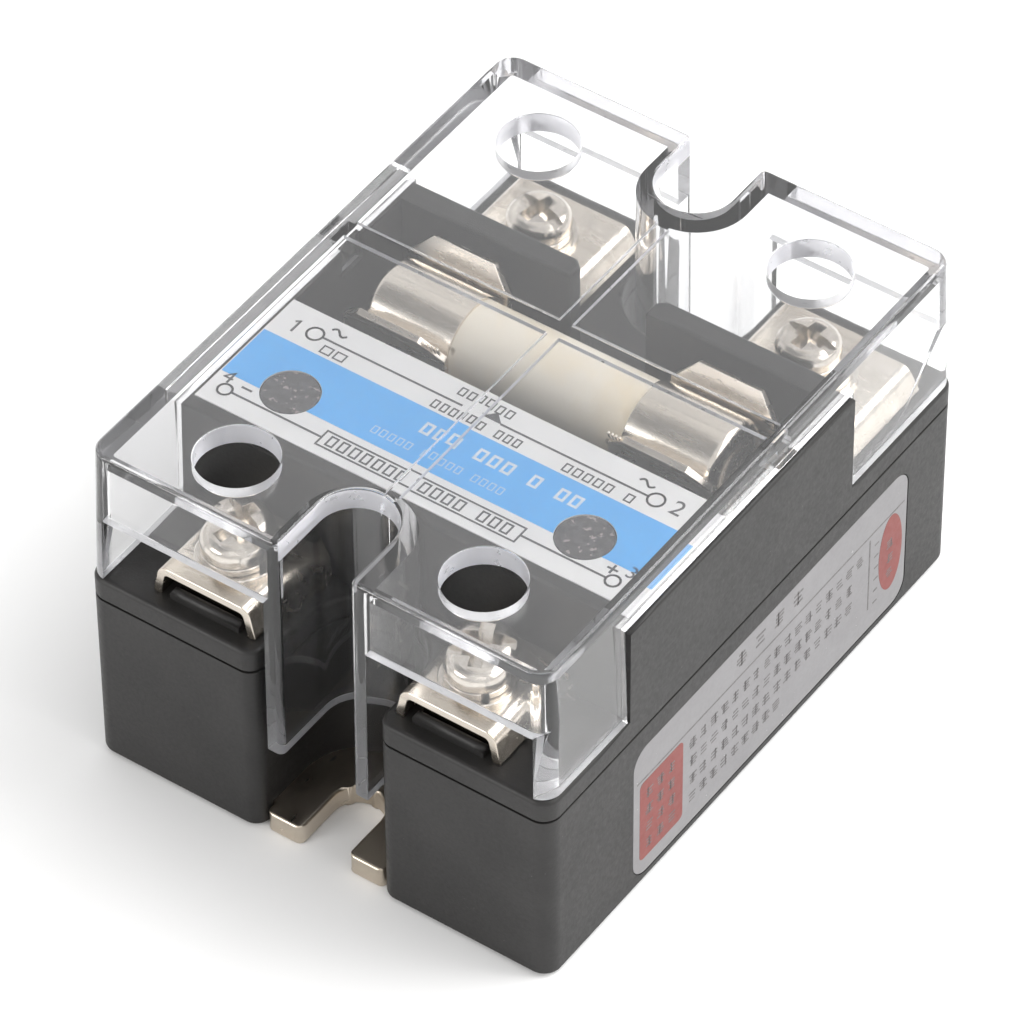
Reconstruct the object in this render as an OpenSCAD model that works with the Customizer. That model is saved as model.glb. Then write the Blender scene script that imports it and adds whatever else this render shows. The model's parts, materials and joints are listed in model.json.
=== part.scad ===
// Panel-mount solid state relay with a cartridge fuse under a clear cover.
// Origin: centre of the base plate's underside. +Z up, -Y is the control end.

/* [Footprint] */
// Width of the case
body_w = 45; // [42:0.5:56]
// Length of the case, control end to output end
body_l = 58.5; // [56:0.5:72]
// Radius of the case's vertical corners
corner_r = 1.6; // [0.8:0.1:3]
// Wall of the lower case
case_wall = 1.8; // [1.2:0.1:2.4]

/* [Heights] */
// Joint between lower and upper case, above the mounting face
seam_z = 18; // [16:0.5:24]
// Thickness of the terminal deck
deck_t = 2.4; // [2:0.1:4]
// Height of the fuse block above the deck
block_h = 10.1; // [9.6:0.1:13]
// Height of the cover's top above the block
cover_rise = 3.6; // [3.2:0.1:6]

/* [Base plate] */
// Thickness of the base plate
plate_t = 2.1; // [1.5:0.1:3.5]
// Distance between the two mounting screws
mount_pitch = 47.6; // [46:0.1:56]
// Width of the mounting slot and hole
mount_hole_d = 4.6; // [3.6:0.1:5.4]
// Shift of the mounting line's centre towards the control end
mount_shift = 0.3; // [0:0.1:0.6]

/* [End notches] */
// Width of the notches in the case
notch_w = 11.9; // [11.5:0.1:13]
// Width across the outside of the cover's skirt in a notch
skirt_w = 9.9; // [9:0.1:10.8]
// Wall of the cover's skirt
skirt_wall = 1.5; // [1:0.1:1.8]
// Centre of the control end's notch, from the case's end
notch_front = 6.05; // [5:0.05:8]
// Centre of the output end's notch, from the case's end
notch_rear = 5.05; // [4:0.05:7]
// Radius of the notch mouth's corners
mouth_r = 1.4; // [0.6:0.1:2]

/* [Fuse block] */
// Front face of the block, from the control end
block_front = 11.15; // [10.9:0.05:13]
// Rear face of the block, from the output end
block_rear = 15.65; // [14.5:0.05:18]
// Length of the fuse bay along the case
bay_l = 14.9; // [13.5:0.1:17]
// Thickness of the bay's rear bars
bar_t = 2.1; // [1.4:0.1:3]
// Gap between the two rear bars
bar_gap = 7.4; // [5:0.1:10]
// Roof of the block above its hollow
roof_t = 1.6; // [1.2:0.1:2.4]

/* [Clear cover] */
// Step from the case's side in to the cover's side
cover_inset = 0.45; // [0.3:0.05:0.8]
// Wall of the cover
cover_wall = 1.5; // [1:0.1:2]
// Thickness of the cover's top
cover_top_t = 2; // [1.2:0.1:2.4]
// Height of the wire openings above the deck
window_h = 6.5; // [5:0.1:8]
// Diameter of the screwdriver holes
driver_hole_d = 7; // [6:0.1:8]
// Lower edge of the skirts above the mounting face
skirt_z = 10.4; // [6:0.1:14]
// Width of the ribs under the top
rib_w = 1.9; // [1:0.1:3]
// Depth of the ribs under the top
rib_h = 0.5; // [0.2:0.1:0.8]

/* [Fuse] */
// Length of the fuse over its caps
fuse_l = 34; // [30:0.5:36]
// Outer diameter of the end caps
fuse_d = 8.2; // [7:0.1:8.4]
// Length of one end cap
cap_l = 8.5; // [7:0.5:10]
// Wall of an end cap
cap_t = 0.3; // [0.2:0.05:0.5]
// Wall of the ceramic tube
tube_wall = 1.2; // [0.8:0.1:1.6]
// Centre of the fuse behind the bay's front edge
fuse_back = 8; // [7:0.1:9]
// Width of a fuse clip
clip_w = 10; // [7:0.5:10.5]
// Sheet thickness of a fuse clip
clip_t = 0.6; // [0.4:0.05:0.8]
// Centre of a fuse clip from the middle of the case
clip_x = 13; // [12:0.1:14]
// Reach of a clip's flared lip from the fuse's axis
lip_reach = 6.2; // [5.6:0.1:6.4]

/* [Terminals] */
// Control terminals from the middle of the case
control_x = 11.85; // [11.5:0.05:13]
// Control terminals from the control end
control_y = 6.6; // [6:0.05:7]
// Output terminals from the middle of the case
output_x = 13.35; // [12.5:0.05:14]
// Output terminals from the output end
output_y = 8.4; // [7:0.05:9]
// Thread diameter of the terminal screws
screw_d = 3; // [2.5:0.1:3.5]
// Head diameter of the terminal screws
head_d = 5.6; // [5:0.1:6]
// Head height of the terminal screws
head_h = 2; // [1.5:0.1:2.4]
// Length of the terminal screws under the head
screw_l = 7.4; // [6.6:0.1:7.8]
// Sheet thickness of the wire clamps
clamp_t = 0.8; // [0.6:0.1:1.2]
// Flat width of the wire clamps
clamp_w = 8.9; // [8.6:0.1:9.2]
// Length of the control clamps along the case
control_clamp_l = 8.2; // [6.5:0.1:8.4]
// Length of the output clamps along the case
output_clamp_l = 10.4; // [8:0.1:11]
// Thickness of the terminal bars
terminal_t = 1.2; // [0.8:0.1:1.4]
// Height of the opened control clamps above their tightened place
control_open = 0.85; // [0:0.05:1]
// Reach of the control clamps in front of the seated length
clamp_ahead = 1; // [0:0.1:1]
// Extra width of the output bars and clamps
output_extra = 2.1; // [1.6:0.1:2.2]

/* [Labels and indicator] */
// Thickness of the labels
label_t = 0.12; // [0.08:0.01:0.14]
// Depth of the side label's recess
label_recess = 0.15; // [0.15:0.01:0.3]
// Length of the side label
side_label_l = 39.8; // [30:0.1:42]
// Height of the side label
side_label_h = 14.6; // [10:0.1:14.8]
// Diameter of the indicator lens and its twin
lens_d = 4.8; // [4:0.1:5.4]
// Lens centres from the middle of the case
lens_x = 14.25; // [12:0.05:15]
// Lens centres behind the block's front face
lens_y = 5.7; // [4.5:0.1:7]

/* [Hidden] */

$fn = 48;
// Overshoot of a cut past the face it leaves
over = 1;
// Gap between pieces that sit inside each other without a fit
slip = 0.1;
// Gap between pieces that move past each other
gap = 0.2;
// Gap under a seated face that must be able to lift away
seat = 0.05;

half_w = body_w / 2;
half_l = body_l / 2;
deck_z = seam_z + deck_t;
block_z = deck_z + block_h;
cover_z = block_z + cover_rise;
front_notch_y = -half_l + notch_front;
rear_notch_y = half_l - notch_rear;
block_y0 = -half_l + block_front;
block_y1 = half_l - block_rear;
bar_y0 = block_y1 - bar_t;
bay_y0 = bar_y0 - bay_l;

// Mounting slot and hole in the base plate
mount_r = mount_hole_d / 2;
slot_y = -mount_pitch / 2 - mount_shift;
hole_y = mount_pitch / 2 - mount_shift;
// Case edge above the mounting face
case_lift = 0.3;
// Set-back of the base plate's tongues from the case's ends
tongue_set = 0.6;

// Cover
cover_half_w = half_w - cover_inset;
cover_half_l = half_l - cover_inset;
cover_in_w = cover_half_w - cover_wall;
cover_in_l = cover_half_l - cover_wall;
cover_corner = corner_r + 0.2;
cover_mouth = 0.6;
window_z = deck_z + window_h;

// Upper case
spigot_h = 1.4;
spigot_wall = 1.2;
boss_r = 4;
boss_h = 2.5;
boss_floor = 0.5;
guide_w = 2.6;
guide_t = 1.1;
guide_drop = 2.6;
bar_chamfer = 0.7;

// Fuse and clips
fuse_r = fuse_d / 2;
tube_r = fuse_r - cap_t;
clip_r = fuse_r + seat;
fuse_y = bay_y0 + fuse_back;
foot_h = 0.45;
fuse_z = deck_z + foot_h + clip_t + clip_r;
foot_l = 4.4;
leg_h = 2;
lip_h = 1.9;
lip_chamfer = 1.6;
rivet_r = 0.9;
rivet_head_r = 1.6;
rivet_head_h = 0.35;

// Terminals, numbered as on the label: 1 and 2 output, 3 and 4 control
term_x = [-output_x, output_x, control_x, -control_x];
term_y = [half_l - output_y, half_l - output_y, -half_l + control_y, -half_l + control_y];
clamp_len = [output_clamp_l, output_clamp_l, control_clamp_l, control_clamp_l];
screw_r = screw_d / 2;
terminal_z = deck_z + terminal_t;
clamp_gap = 0.3;
clamp_z = terminal_z + clamp_gap;
flat_washer_t = 0.5;
lock_washer_t = 0.7;
washer_r = 3.3;
lock_washer_r = 2.8;
head_z = clamp_z + clamp_t + flat_washer_t + lock_washer_t + 0.02;
stack_lift = [0, 0, control_open, control_open];
terminal_w = clamp_w - 2 * clamp_t - 0.9;
clamp_front = term_y[2] - control_clamp_l / 2 - clamp_ahead;
nut_h = 2.4;
nut_af = 5.5;
nut_z = deck_z - nut_h;
leg_splay = [1.1, 1.1, 0.6, 0.6];
leg_clear = 0.15;
recess_w = 0.9;
recess_l = 3.2;
recess_depth = 1.3;

// Indicator
lens_cy = block_y0 + lens_y;
lens_flange_z = block_z - roof_t;
led_r = 1.5;
led_h = 4;
led_pitch = 1.27;

// Power stage
substrate_w = 30;
substrate_l = 20;
substrate_t = 0.7;
substrate_y = 2;
pad_t = 0.3;
pad_w = 13.5;
pad_l = 16;
pad_x = 7.5;
chip_w = 7;
chip_t = 0.4;
chip_x = 5;
chip_dy = 4;
pad_z = plate_t + substrate_t;
chip_z = pad_z + pad_t;
bridge_t = 0.4;
lead_w = 3.2;
lead_t = 0.8;
lead_x = output_x - 0.75;
lead_y = block_y1 + 2.6;
strap_z = seam_z - rivet_head_h - lead_t;

// Control board
board_w = 36;
board_y0 = -half_l + 8.25;
board_y1 = 1;
board_t = 1.2;
board_z = 10.6;
board_top = board_z + board_t;
wire_r = 0.3;
gel_top = 7.2;
ledge_l = 2;
ledge_grip = 1.3;
ledge_h = 3;
pin_r = 0.35;
pin_x = control_x + 2.4;
pin_y = block_y0 - 1.2;
// Gate wires, from the chips' inner corners up to the board
gate_x = chip_x + chip_w / 2 - 0.8;
gate_y = chip_dy - chip_w / 2 + 0.8;
opto_y = -7;

// Side label
side_label_y = 2.4;
side_label_z = 8.45;
side_label_r = 1.9;

// ---- Shared shapes ----

module rounded_rect(w, l, r) {
    union() {
        square([w - 2 * r, l], center = true);
        square([w, l - 2 * r], center = true);
        for (sx = [-1, 1], sy = [-1, 1])
            translate([sx * (w / 2 - r), sy * (l / 2 - r)])
                circle(r);
    }
}

// U-shaped cut that opens towards one end; dir is -1 at the control end
module end_notch(r, cy, dir, end_y) {
    reach = dir * (end_y + over);
    union() {
        translate([0, cy])
            circle(r);
        translate([-r, min(cy, reach)])
            square([2 * r, abs(reach - cy)]);
    }
}

// Corner rounding at a notch's mouth
module mouth_flare(r, m, dir, end_y) {
    for (sx = [-1, 1])
        difference() {
            translate([sx * (r + m / 2 - 0.005), dir * (end_y - m / 2 + 0.005)])
                square([m + 0.01, m + 0.01], center = true);
            translate([sx * (r + m), dir * (end_y - m)])
                circle(m);
        }
}

// Plan of the case or cover: a rounded rectangle with a notch at each end
module puck(w, l, r, notch_d, mouth) {
    difference() {
        rounded_rect(w, l, r);
        end_notch(notch_d / 2, front_notch_y, -1, l / 2);
        end_notch(notch_d / 2, rear_notch_y, 1, l / 2);
        if (mouth > 0) {
            mouth_flare(notch_d / 2, mouth, -1, l / 2);
            mouth_flare(notch_d / 2, mouth, 1, l / 2);
        }
    }
}

// Plan of the space inside a wall t thick
module puck_inside(w, l, r, notch_d, t) {
    difference() {
        rounded_rect(w - 2 * t, l - 2 * t, max(r - t, 0.3));
        end_notch(notch_d / 2 + t, front_notch_y, -1, l / 2);
        end_notch(notch_d / 2 + t, rear_notch_y, 1, l / 2);
    }
}

module slab(z0, z1) {
    translate([0, 0, z0])
        linear_extrude(z1 - z0)
            children();
}

module box(x0, x1, y0, y1, z0, z1) {
    translate([x0, y0, z0])
        cube([x1 - x0, y1 - y0, z1 - z0]);
}

module on_both_sides() {
    for (side = [0, 1])
        mirror([side, 0, 0])
            children();
}

module at_terminal(i) {
    translate([term_x[i], term_y[i], 0])
        children();
}

// ---- Base and case ----

module plate_plan(extra) {
    inner_w = body_w - 2 * case_wall - 2 * slip;
    inner_l = body_l - 2 * case_wall - 2 * slip;
    union() {
        rounded_rect(inner_w + 2 * extra, inner_l + 2 * extra, 0.8);
        square([notch_w - 2 * slip + 2 * extra, body_l - 2 * tongue_set + 2 * extra], center = true);
    }
}

module base_plate() {
    color("gainsboro")
        slab(0, plate_t)
            difference() {
                plate_plan(0);
                end_notch(mount_r, slot_y, -1, half_l);
                translate([0, hole_y])
                    circle(mount_r);
            }
}

module side_label_plan(extra) {
    rounded_rect(side_label_l + 2 * extra, side_label_h + 2 * extra, side_label_r + extra);
}

module on_right_side(x, depth) {
    translate([x, side_label_y, side_label_z])
        rotate([90, 0, 90])
            linear_extrude(depth)
                children();
}

module lower_case() {
    color([0.16, 0.16, 0.16])
        difference() {
            slab(case_lift, seam_z)
                puck(body_w, body_l, corner_r, notch_w, mouth_r);
            difference() {
                slab(plate_t, seam_z + over)
                    puck_inside(body_w, body_l, corner_r, notch_w, case_wall);
                board_ledges();
            }
            slab(-over, plate_t)
                plate_plan(slip);
            on_right_side(half_w - label_recess, label_recess + over)
                side_label_plan(slip);
        }
}

// Ledges inside the side walls that carry the control board
module board_ledges() {
    for (y = [board_y0 + 3, board_y1 - 3])
        on_both_sides()
            box(board_w / 2 - ledge_grip, half_w, y - ledge_l / 2, y + ledge_l / 2,
                board_z - ledge_h, board_z);
}

module upper_case() {
    color([0.15, 0.15, 0.16])
        difference() {
            union() {
                slab(seam_z, deck_z)
                    puck(body_w, body_l, corner_r, notch_w, mouth_r);
                spigot();
                fuse_block();
                for (i = [0:3])
                    at_terminal(i)
                        translate([0, 0, nut_z - boss_h])
                            cylinder(r = boss_r, h = boss_h + over);
                wire_ridges();
            }
            block_hollows();
            for (i = [0:3])
                at_terminal(i)
                    nut_pocket();
            deck_passages();
            for (sx = [-1, 1])
                translate([sx * lens_x, lens_cy, 0])
                    cylinder(d = lens_d + 2 * seat, h = block_z + over);
            for (sx = [-1, 1])
                translate([sx * clip_x, fuse_y, seam_z - over])
                    cylinder(r = rivet_r + seat, h = deck_t + 2 * over);
            cover_guides();
        }
}

// Lip that drops into the lower case
module spigot() {
    outer = case_wall + slip;
    slab(seam_z - spigot_h, seam_z + 0.01)
        difference() {
            puck_inside(body_w, body_l, corner_r, notch_w, outer);
            puck_inside(body_w, body_l, corner_r, notch_w, outer + spigot_wall);
        }
}

// Raised block: label roof in front, fuse bay behind it, two bars at the back
module fuse_block() {
    difference() {
        box(-half_w, half_w, block_y0, block_y1, deck_z - 0.01, block_z);
        box(-cover_in_w, cover_in_w, bay_y0, bar_y0, deck_z, block_z + over);
        box(-bar_gap / 2, bar_gap / 2, bar_y0 - over, block_y1 + over, deck_z, block_z + over);
        bar_chamfers();
        slab(deck_z, block_z + over)
            end_notch(notch_w / 2, front_notch_y, -1, half_l);
    }
}

// Upright chamfers on the rear inner corners of the two bars
module bar_chamfers() {
    inner = bar_gap / 2;
    on_both_sides()
        slab(deck_z, block_z + over)
            polygon([
                [inner - over, block_y1 - bar_chamfer],
                [inner, block_y1 - bar_chamfer],
                [inner + bar_chamfer, block_y1],
                [inner + bar_chamfer, block_y1 + over],
                [inner - over, block_y1 + over]
            ]);
}

// Hollows inside the block, open downwards into the lower case
module block_hollows() {
    wall = case_wall;
    side_wall = case_wall + slip + spigot_wall;
    on_both_sides()
        box(notch_w / 2 + wall, half_w - side_wall, block_y0 + wall, bay_y0 - wall,
            seam_z - over, lens_flange_z);
}

// Openings in the deck for the power leads and the control pins
module deck_passages() {
    on_both_sides() {
        box(lead_x - lead_w / 2 - slip, lead_x + lead_w / 2 + slip,
            lead_y - lead_t / 2 - slip, lead_y + lead_t / 2 + slip, seam_z - over, deck_z + over);
        translate([pin_x, pin_y, nut_z - boss_h - over])
            cylinder(r = pin_r + slip, h = nut_h + boss_h + 2 * over);
    }
}

module nut_pocket() {
    translate([0, 0, nut_z - seat])
        cylinder(d = (nut_af + 2 * seat) / cos(30), h = nut_h + seat + over, $fn = 6);
    translate([0, 0, nut_z - boss_h + boss_floor])
        cylinder(r = screw_r + gap, h = boss_h + over);
}

// Low ridge in front of each control terminal, between the clamp's legs
module wire_ridges() {
    ridge_h = 1;
    half = terminal_w / 2 + 0.2;
    back = term_y[2] - control_clamp_l / 2 + 0.1 - gap;
    for (i = [2, 3])
        translate([term_x[i], 0, 0])
            box(-half, half, clamp_front, back, deck_z - 0.01, deck_z + ridge_h);
}

// Grooves in the bay's side walls for the cover's guide pads
module cover_guides() {
    on_both_sides()
        box(cover_in_w - over, cover_in_w + guide_t + 2 * slip,
            fuse_y - guide_w / 2 - slip, fuse_y + guide_w / 2 + slip,
            block_z - guide_drop - gap, block_z + over);
}

module clear_cover() {
    bottom = deck_z + seat;
    color([0.86, 0.88, 0.95, 0.35])
        difference() {
            union() {
                cover_shell(bottom);
                cover_skirts();
                cover_ribs();
                guide_pads();
            }
            for (i = [0:3])
                at_terminal(i)
                    translate([0, 0, window_z])
                        cylinder(d = driver_hole_d, h = cover_z - window_z + over);
        }
}

// Top, end walls and side walls; the side walls step up over the fuse block
module cover_shell(bottom) {
    difference() {
        slab(bottom, cover_z)
            puck(2 * cover_half_w, 2 * cover_half_l, cover_corner, skirt_w - 2 * skirt_wall, cover_mouth);
        slab(bottom - over, cover_z - cover_top_t)
            puck_inside(2 * cover_half_w, 2 * cover_half_l, cover_corner,
                skirt_w - 2 * skirt_wall, cover_wall);
        box(-half_w, half_w, block_y0 - gap, block_y1 + gap, bottom - over, block_z + seat);
        for (dir = [-1, 1])
            difference() {
                box(-cover_in_w, cover_in_w,
                    dir < 0 ? -half_l - over : cover_in_l - over,
                    dir < 0 ? -cover_in_l + over : half_l + over, bottom - over, window_z);
                slab(bottom - 2 * over, window_z + over)
                    square([skirt_w, 2 * body_l], center = true);
            }
    }
}

// Wall that lines each end notch and hangs down between the case's halves
module cover_skirts() {
    slab(skirt_z, cover_z)
        intersection() {
            puck(2 * cover_half_w, 2 * cover_half_l, cover_corner, skirt_w - 2 * skirt_wall, cover_mouth);
            union() {
                end_notch(skirt_w / 2, front_notch_y, -1, cover_half_l);
                end_notch(skirt_w / 2, rear_notch_y, 1, cover_half_l);
            }
        }
}

// Cross of shallow ribs under the top
module cover_ribs() {
    top = cover_z - cover_top_t;
    inner = skirt_w / 2;
    box(-cover_in_w - 0.01, cover_in_w + 0.01, fuse_y - rib_w / 2, fuse_y + rib_w / 2,
        top - rib_h, top + 0.01);
    box(-rib_w / 3, rib_w / 3, front_notch_y + inner - 0.1, rear_notch_y - inner + 0.1,
        top - rib_h, top + 0.01);
}

// Pads under the side walls that slide down into the bay's grooves
module guide_pads() {
    on_both_sides()
        box(cover_in_w + slip, cover_in_w + slip + guide_t,
            fuse_y - guide_w / 2, fuse_y + guide_w / 2, block_z - guide_drop, block_z + over);
}

// ---- Labels and indicator ----

module top_label() {
    margin = 0.15;
    front = block_y0 + 1.2;
    color([0.9, 0.9, 0.91])
        difference() {
            box(-cover_in_w + margin, cover_in_w - margin, front, bay_y0 - margin,
                block_z, block_z + label_t);
            for (sx = [-1, 1])
                translate([sx * lens_x, lens_cy, block_z - over])
                    cylinder(d = lens_d + 4 * seat, h = 2 * over);
        }
}

module side_label() {
    color([0.69, 0.68, 0.69])
        on_right_side(half_w - label_recess, label_t)
            side_label_plan(0);
}

module lens(sx, tint) {
    flange_r = lens_d / 2 + 0.8;
    flange_t = 0.6;
    color(tint)
        translate([sx * lens_x, lens_cy, 0])
            union() {
                translate([0, 0, lens_flange_z])
                    cylinder(d = lens_d, h = roof_t + label_t);
                translate([0, 0, lens_flange_z - flange_t])
                    cylinder(r = flange_r, h = flange_t);
            }
}

module indicator_led() {
    dome_z = lens_flange_z - 1 - led_r;
    base_z = dome_z - led_h + led_r;
    color([0.85, 0.1, 0.08])
        translate([-lens_x, lens_cy, 0])
            union() {
                translate([0, 0, dome_z])
                    sphere(led_r);
                translate([0, 0, base_z])
                    cylinder(r = led_r, h = led_h - led_r);
                for (sx = [-1, 1])
                    translate([sx * led_pitch / 2, 0, 0])
                        soldered_wire(base_z + 0.1);
            }
}

// ---- Fuse and clips ----

// Turns a profile drawn in Y and Z about the fuse's axis into a bar along X
module along_fuse(x0, x1) {
    translate([x0, fuse_y, fuse_z])
        rotate([90, 0, 90])
            linear_extrude(x1 - x0)
                children();
}

module fuse_tube() {
    reach = fuse_l / 2 - cap_t;
    color([0.93, 0.91, 0.86])
        along_fuse(-reach, reach)
            difference() {
                circle(tube_r);
                circle(tube_r - tube_wall);
            }
}

module fuse_cap(side) {
    color([0.83, 0.8, 0.76])
        mirror([side < 0 ? 1 : 0, 0, 0])
            difference() {
                along_fuse(fuse_l / 2 - cap_l, fuse_l / 2)
                    circle(fuse_r);
                along_fuse(fuse_l / 2 - cap_l - over, fuse_l / 2 - cap_t)
                    circle(tube_r);
            }
}

module element_strip(x1, w, t) {
    translate([0, fuse_y, fuse_z])
        cube([2 * x1, w, t], center = true);
}

module fuse_element() {
    color([0.8, 0.8, 0.82])
        element_strip(fuse_l / 2 - cap_t, 2.4, 0.15);
}

module fuse_filler() {
    reach = fuse_l / 2 - cap_t;
    color([0.85, 0.8, 0.68])
        difference() {
            along_fuse(-reach, reach)
                circle(tube_r - tube_wall);
            element_strip(fuse_l, 2.4, 0.15);
        }
}

// Spring clip: cradle under the fuse, straight legs and flared lips
module clip_profile() {
    outer = clip_r + clip_t;
    union() {
        difference() {
            circle(outer);
            circle(clip_r);
            translate([-outer - over, 0])
                square([2 * (outer + over), outer + over]);
        }
        for (side = [0, 1])
            mirror([side, 0]) {
                translate([clip_r, -0.01])
                    square([clip_t, leg_h + 0.01]);
                polygon([
                    [clip_r, leg_h - 0.01],
                    [outer, leg_h - 0.01],
                    [lip_reach, leg_h + lip_h - clip_t / 2],
                    [lip_reach - clip_t / 3, leg_h + lip_h]
                ]);
            }
        translate([-foot_l / 2, -outer - foot_h])
            square([foot_l, foot_h + clip_t * 0.8]);
    }
}

// Plan of a clip: full width at the legs, corners cut off the lips
module clip_plan() {
    leg = clip_r + clip_t;
    half = clip_w / 2;
    polygon([
        [-half, -leg], [-half + lip_chamfer, -lip_reach - over], [half - lip_chamfer, -lip_reach - over],
        [half, -leg], [half, leg], [half - lip_chamfer, lip_reach + over],
        [-half + lip_chamfer, lip_reach + over], [-half, leg]
    ]);
}

module fuse_clip(side) {
    x = side * clip_x;
    color([0.83, 0.8, 0.75])
        difference() {
            intersection() {
                along_fuse(x - clip_w / 2, x + clip_w / 2)
                    clip_profile();
                translate([x, fuse_y, deck_z])
                    linear_extrude(block_h)
                        clip_plan();
            }
            translate([x, fuse_y, deck_z - over])
                cylinder(r = rivet_r + 0.02, h = 2 * over + foot_h + clip_t);
        }
}

module clip_rivets() {
    top = fuse_z - clip_r - 0.15;
    color([0.72, 0.7, 0.68])
        for (sx = [-1, 1])
            translate([sx * clip_x, fuse_y, 0])
                union() {
                    translate([0, 0, seam_z - rivet_head_h])
                        cylinder(r = rivet_head_r, h = rivet_head_h);
                    translate([0, 0, seam_z - 0.01])
                        cylinder(r = rivet_r, h = top - seam_z);
                }
}

// ---- Terminals ----

module terminal_bar(i) {
    reach = clamp_len[i] / 2 + (i < 2 ? 0.3 : -0.1);
    half = (terminal_w + (i < 2 ? output_extra : 0)) / 2;
    color([0.8, 0.77, 0.72])
        at_terminal(i)
            difference() {
                box(-half, half, -reach, reach, deck_z, terminal_z);
                cylinder(r = screw_r + gap, h = block_z);
            }
}

module terminal_nuts() {
    color([0.75, 0.73, 0.7])
        for (i = [0:3])
            at_terminal(i)
                translate([0, 0, nut_z])
                    difference() {
                        cylinder(d = nut_af / cos(30), h = nut_h, $fn = 6);
                        translate([0, 0, -over])
                            cylinder(r = screw_r + seat, h = nut_h + 2 * over);
                    }
}

// Inverted channel with splayed legs that straddles the terminal bar
module clamp_profile(w, under, splay) {
    a = w / 2;
    foot = a + splay;
    top = under + clamp_t;
    low = deck_z + leg_clear;
    polygon([
        [-foot, low], [-a, top - clamp_t / 3], [-a + clamp_t / 3, top],
        [a - clamp_t / 3, top], [a, top - clamp_t / 3], [foot, low],
        [foot - clamp_t, low], [a - clamp_t, under], [-a + clamp_t, under], [-foot + clamp_t, low]
    ]);
}

module clamp_plate(i) {
    w = clamp_w + (i < 2 ? output_extra : 0);
    back = clamp_len[i] / 2;
    length = clamp_len[i] + (i < 2 ? 0 : clamp_ahead);
    color([0.85, 0.81, 0.75])
        at_terminal(i)
            difference() {
                translate([0, back, 0])
                    rotate([90, 0, 0])
                        linear_extrude(length)
                            clamp_profile(w, clamp_z + stack_lift[i], leg_splay[i]);
                translate([0, 0, deck_z])
                    cylinder(r = screw_r + gap, h = block_h);
            }
}

module clamp_washers(i) {
    z0 = clamp_z + clamp_t + stack_lift[i];
    color([0.8, 0.78, 0.74])
        at_terminal(i)
            difference() {
                union() {
                    translate([0, 0, z0])
                        cylinder(r = washer_r, h = flat_washer_t);
                    translate([0, 0, z0 + flat_washer_t - 0.01])
                        cylinder(r = lock_washer_r, h = lock_washer_t);
                }
                translate([0, 0, z0 - over])
                    cylinder(r = screw_r + slip, h = 4 * over);
            }
}

module terminal_screw(i) {
    z0 = head_z + stack_lift[i];
    color([0.84, 0.82, 0.79])
        at_terminal(i)
            difference() {
                union() {
                    translate([0, 0, z0])
                        cylinder(d = head_d, h = head_h);
                    translate([0, 0, z0 - screw_l])
                        cylinder(r = screw_r, h = screw_l + 0.01);
                }
                for (turn = [0, 90])
                    rotate([0, 0, turn])
                        translate([0, 0, z0 + head_h - recess_depth / 2 + over / 2])
                            cube([recess_l, recess_w, recess_depth + over], center = true);
            }
}

// ---- Power stage ----

module ceramic_substrate() {
    color([0.92, 0.92, 0.9])
        box(-substrate_w / 2, substrate_w / 2, substrate_y - substrate_l / 2,
            substrate_y + substrate_l / 2, plate_t, pad_z);
}

module copper_pads() {
    color([0.78, 0.5, 0.32])
        on_both_sides()
            box(pad_x - pad_w / 2, pad_x + pad_w / 2, substrate_y - pad_l / 2,
                substrate_y + pad_l / 2, pad_z, chip_z);
}

module thyristor_chip(side) {
    color([0.35, 0.36, 0.4])
        translate([side * chip_x, substrate_y + side * chip_dy, chip_z + chip_t / 2])
            cube([chip_w, chip_w, chip_t], center = true);
}

// One strap from each chip's top across to the other chip's pad
module chip_bridge() {
    strap_w = 3.6;
    strap_reach = 3;
    foot_x = 7;
    foot_w = 1.2;
    top = chip_z + chip_t;
    color([0.78, 0.5, 0.32])
        for (side = [-1, 1])
            translate([0, substrate_y + side * chip_dy, 0])
                mirror([side > 0 ? 1 : 0, 0, 0])
                    union() {
                        box(-chip_x - strap_reach / 2, foot_x, -strap_w / 2, strap_w / 2,
                            top, top + bridge_t);
                        box(foot_x - foot_w, foot_x, -strap_w / 2, strap_w / 2,
                            chip_z, top + bridge_t);
                    }
}

module power_lead(side) {
    x0 = side * lead_x - lead_w / 2;
    x1 = side * lead_x + lead_w / 2;
    foot_y = side < 0 ? substrate_y + 4 : fuse_y - lead_w / 2;
    foot_z = side < 0 ? chip_z : strap_z;
    color([0.78, 0.52, 0.34])
        union() {
            box(x0, x1, foot_y, lead_y + lead_t / 2, foot_z, foot_z + lead_t);
            box(x0, x1, lead_y - lead_t / 2, lead_y + lead_t / 2, foot_z, deck_z);
        }
}

// Strap from the right pad up and across to the left clip's rivet
module fuse_lead() {
    riser_x = chip_x + chip_w / 2 + 0.9;
    y0 = fuse_y - lead_w / 2;
    y1 = fuse_y + lead_w / 2;
    color([0.78, 0.52, 0.34])
        union() {
            box(riser_x, riser_x + 3, y0, y1, chip_z, chip_z + lead_t);
            box(riser_x, riser_x + lead_t, y0, y1, chip_z, strap_z + lead_t);
            box(-clip_x - lead_w / 2, riser_x + lead_t, y0, y1, strap_z, strap_z + lead_t);
        }
}

// ---- Control board ----

// Wire from below the board up to z1, with its solder cone on the board
module soldered_wire(z1) {
    union() {
        translate([0, 0, board_z - 0.6])
            cylinder(r = wire_r, h = z1 - board_z + 0.6);
        translate([0, 0, board_top])
            cylinder(r1 = 3 * wire_r, r2 = wire_r, h = 0.6);
    }
}

module wire_hole() {
    cylinder(r = wire_r + seat, h = 3 * board_z);
}

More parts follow.
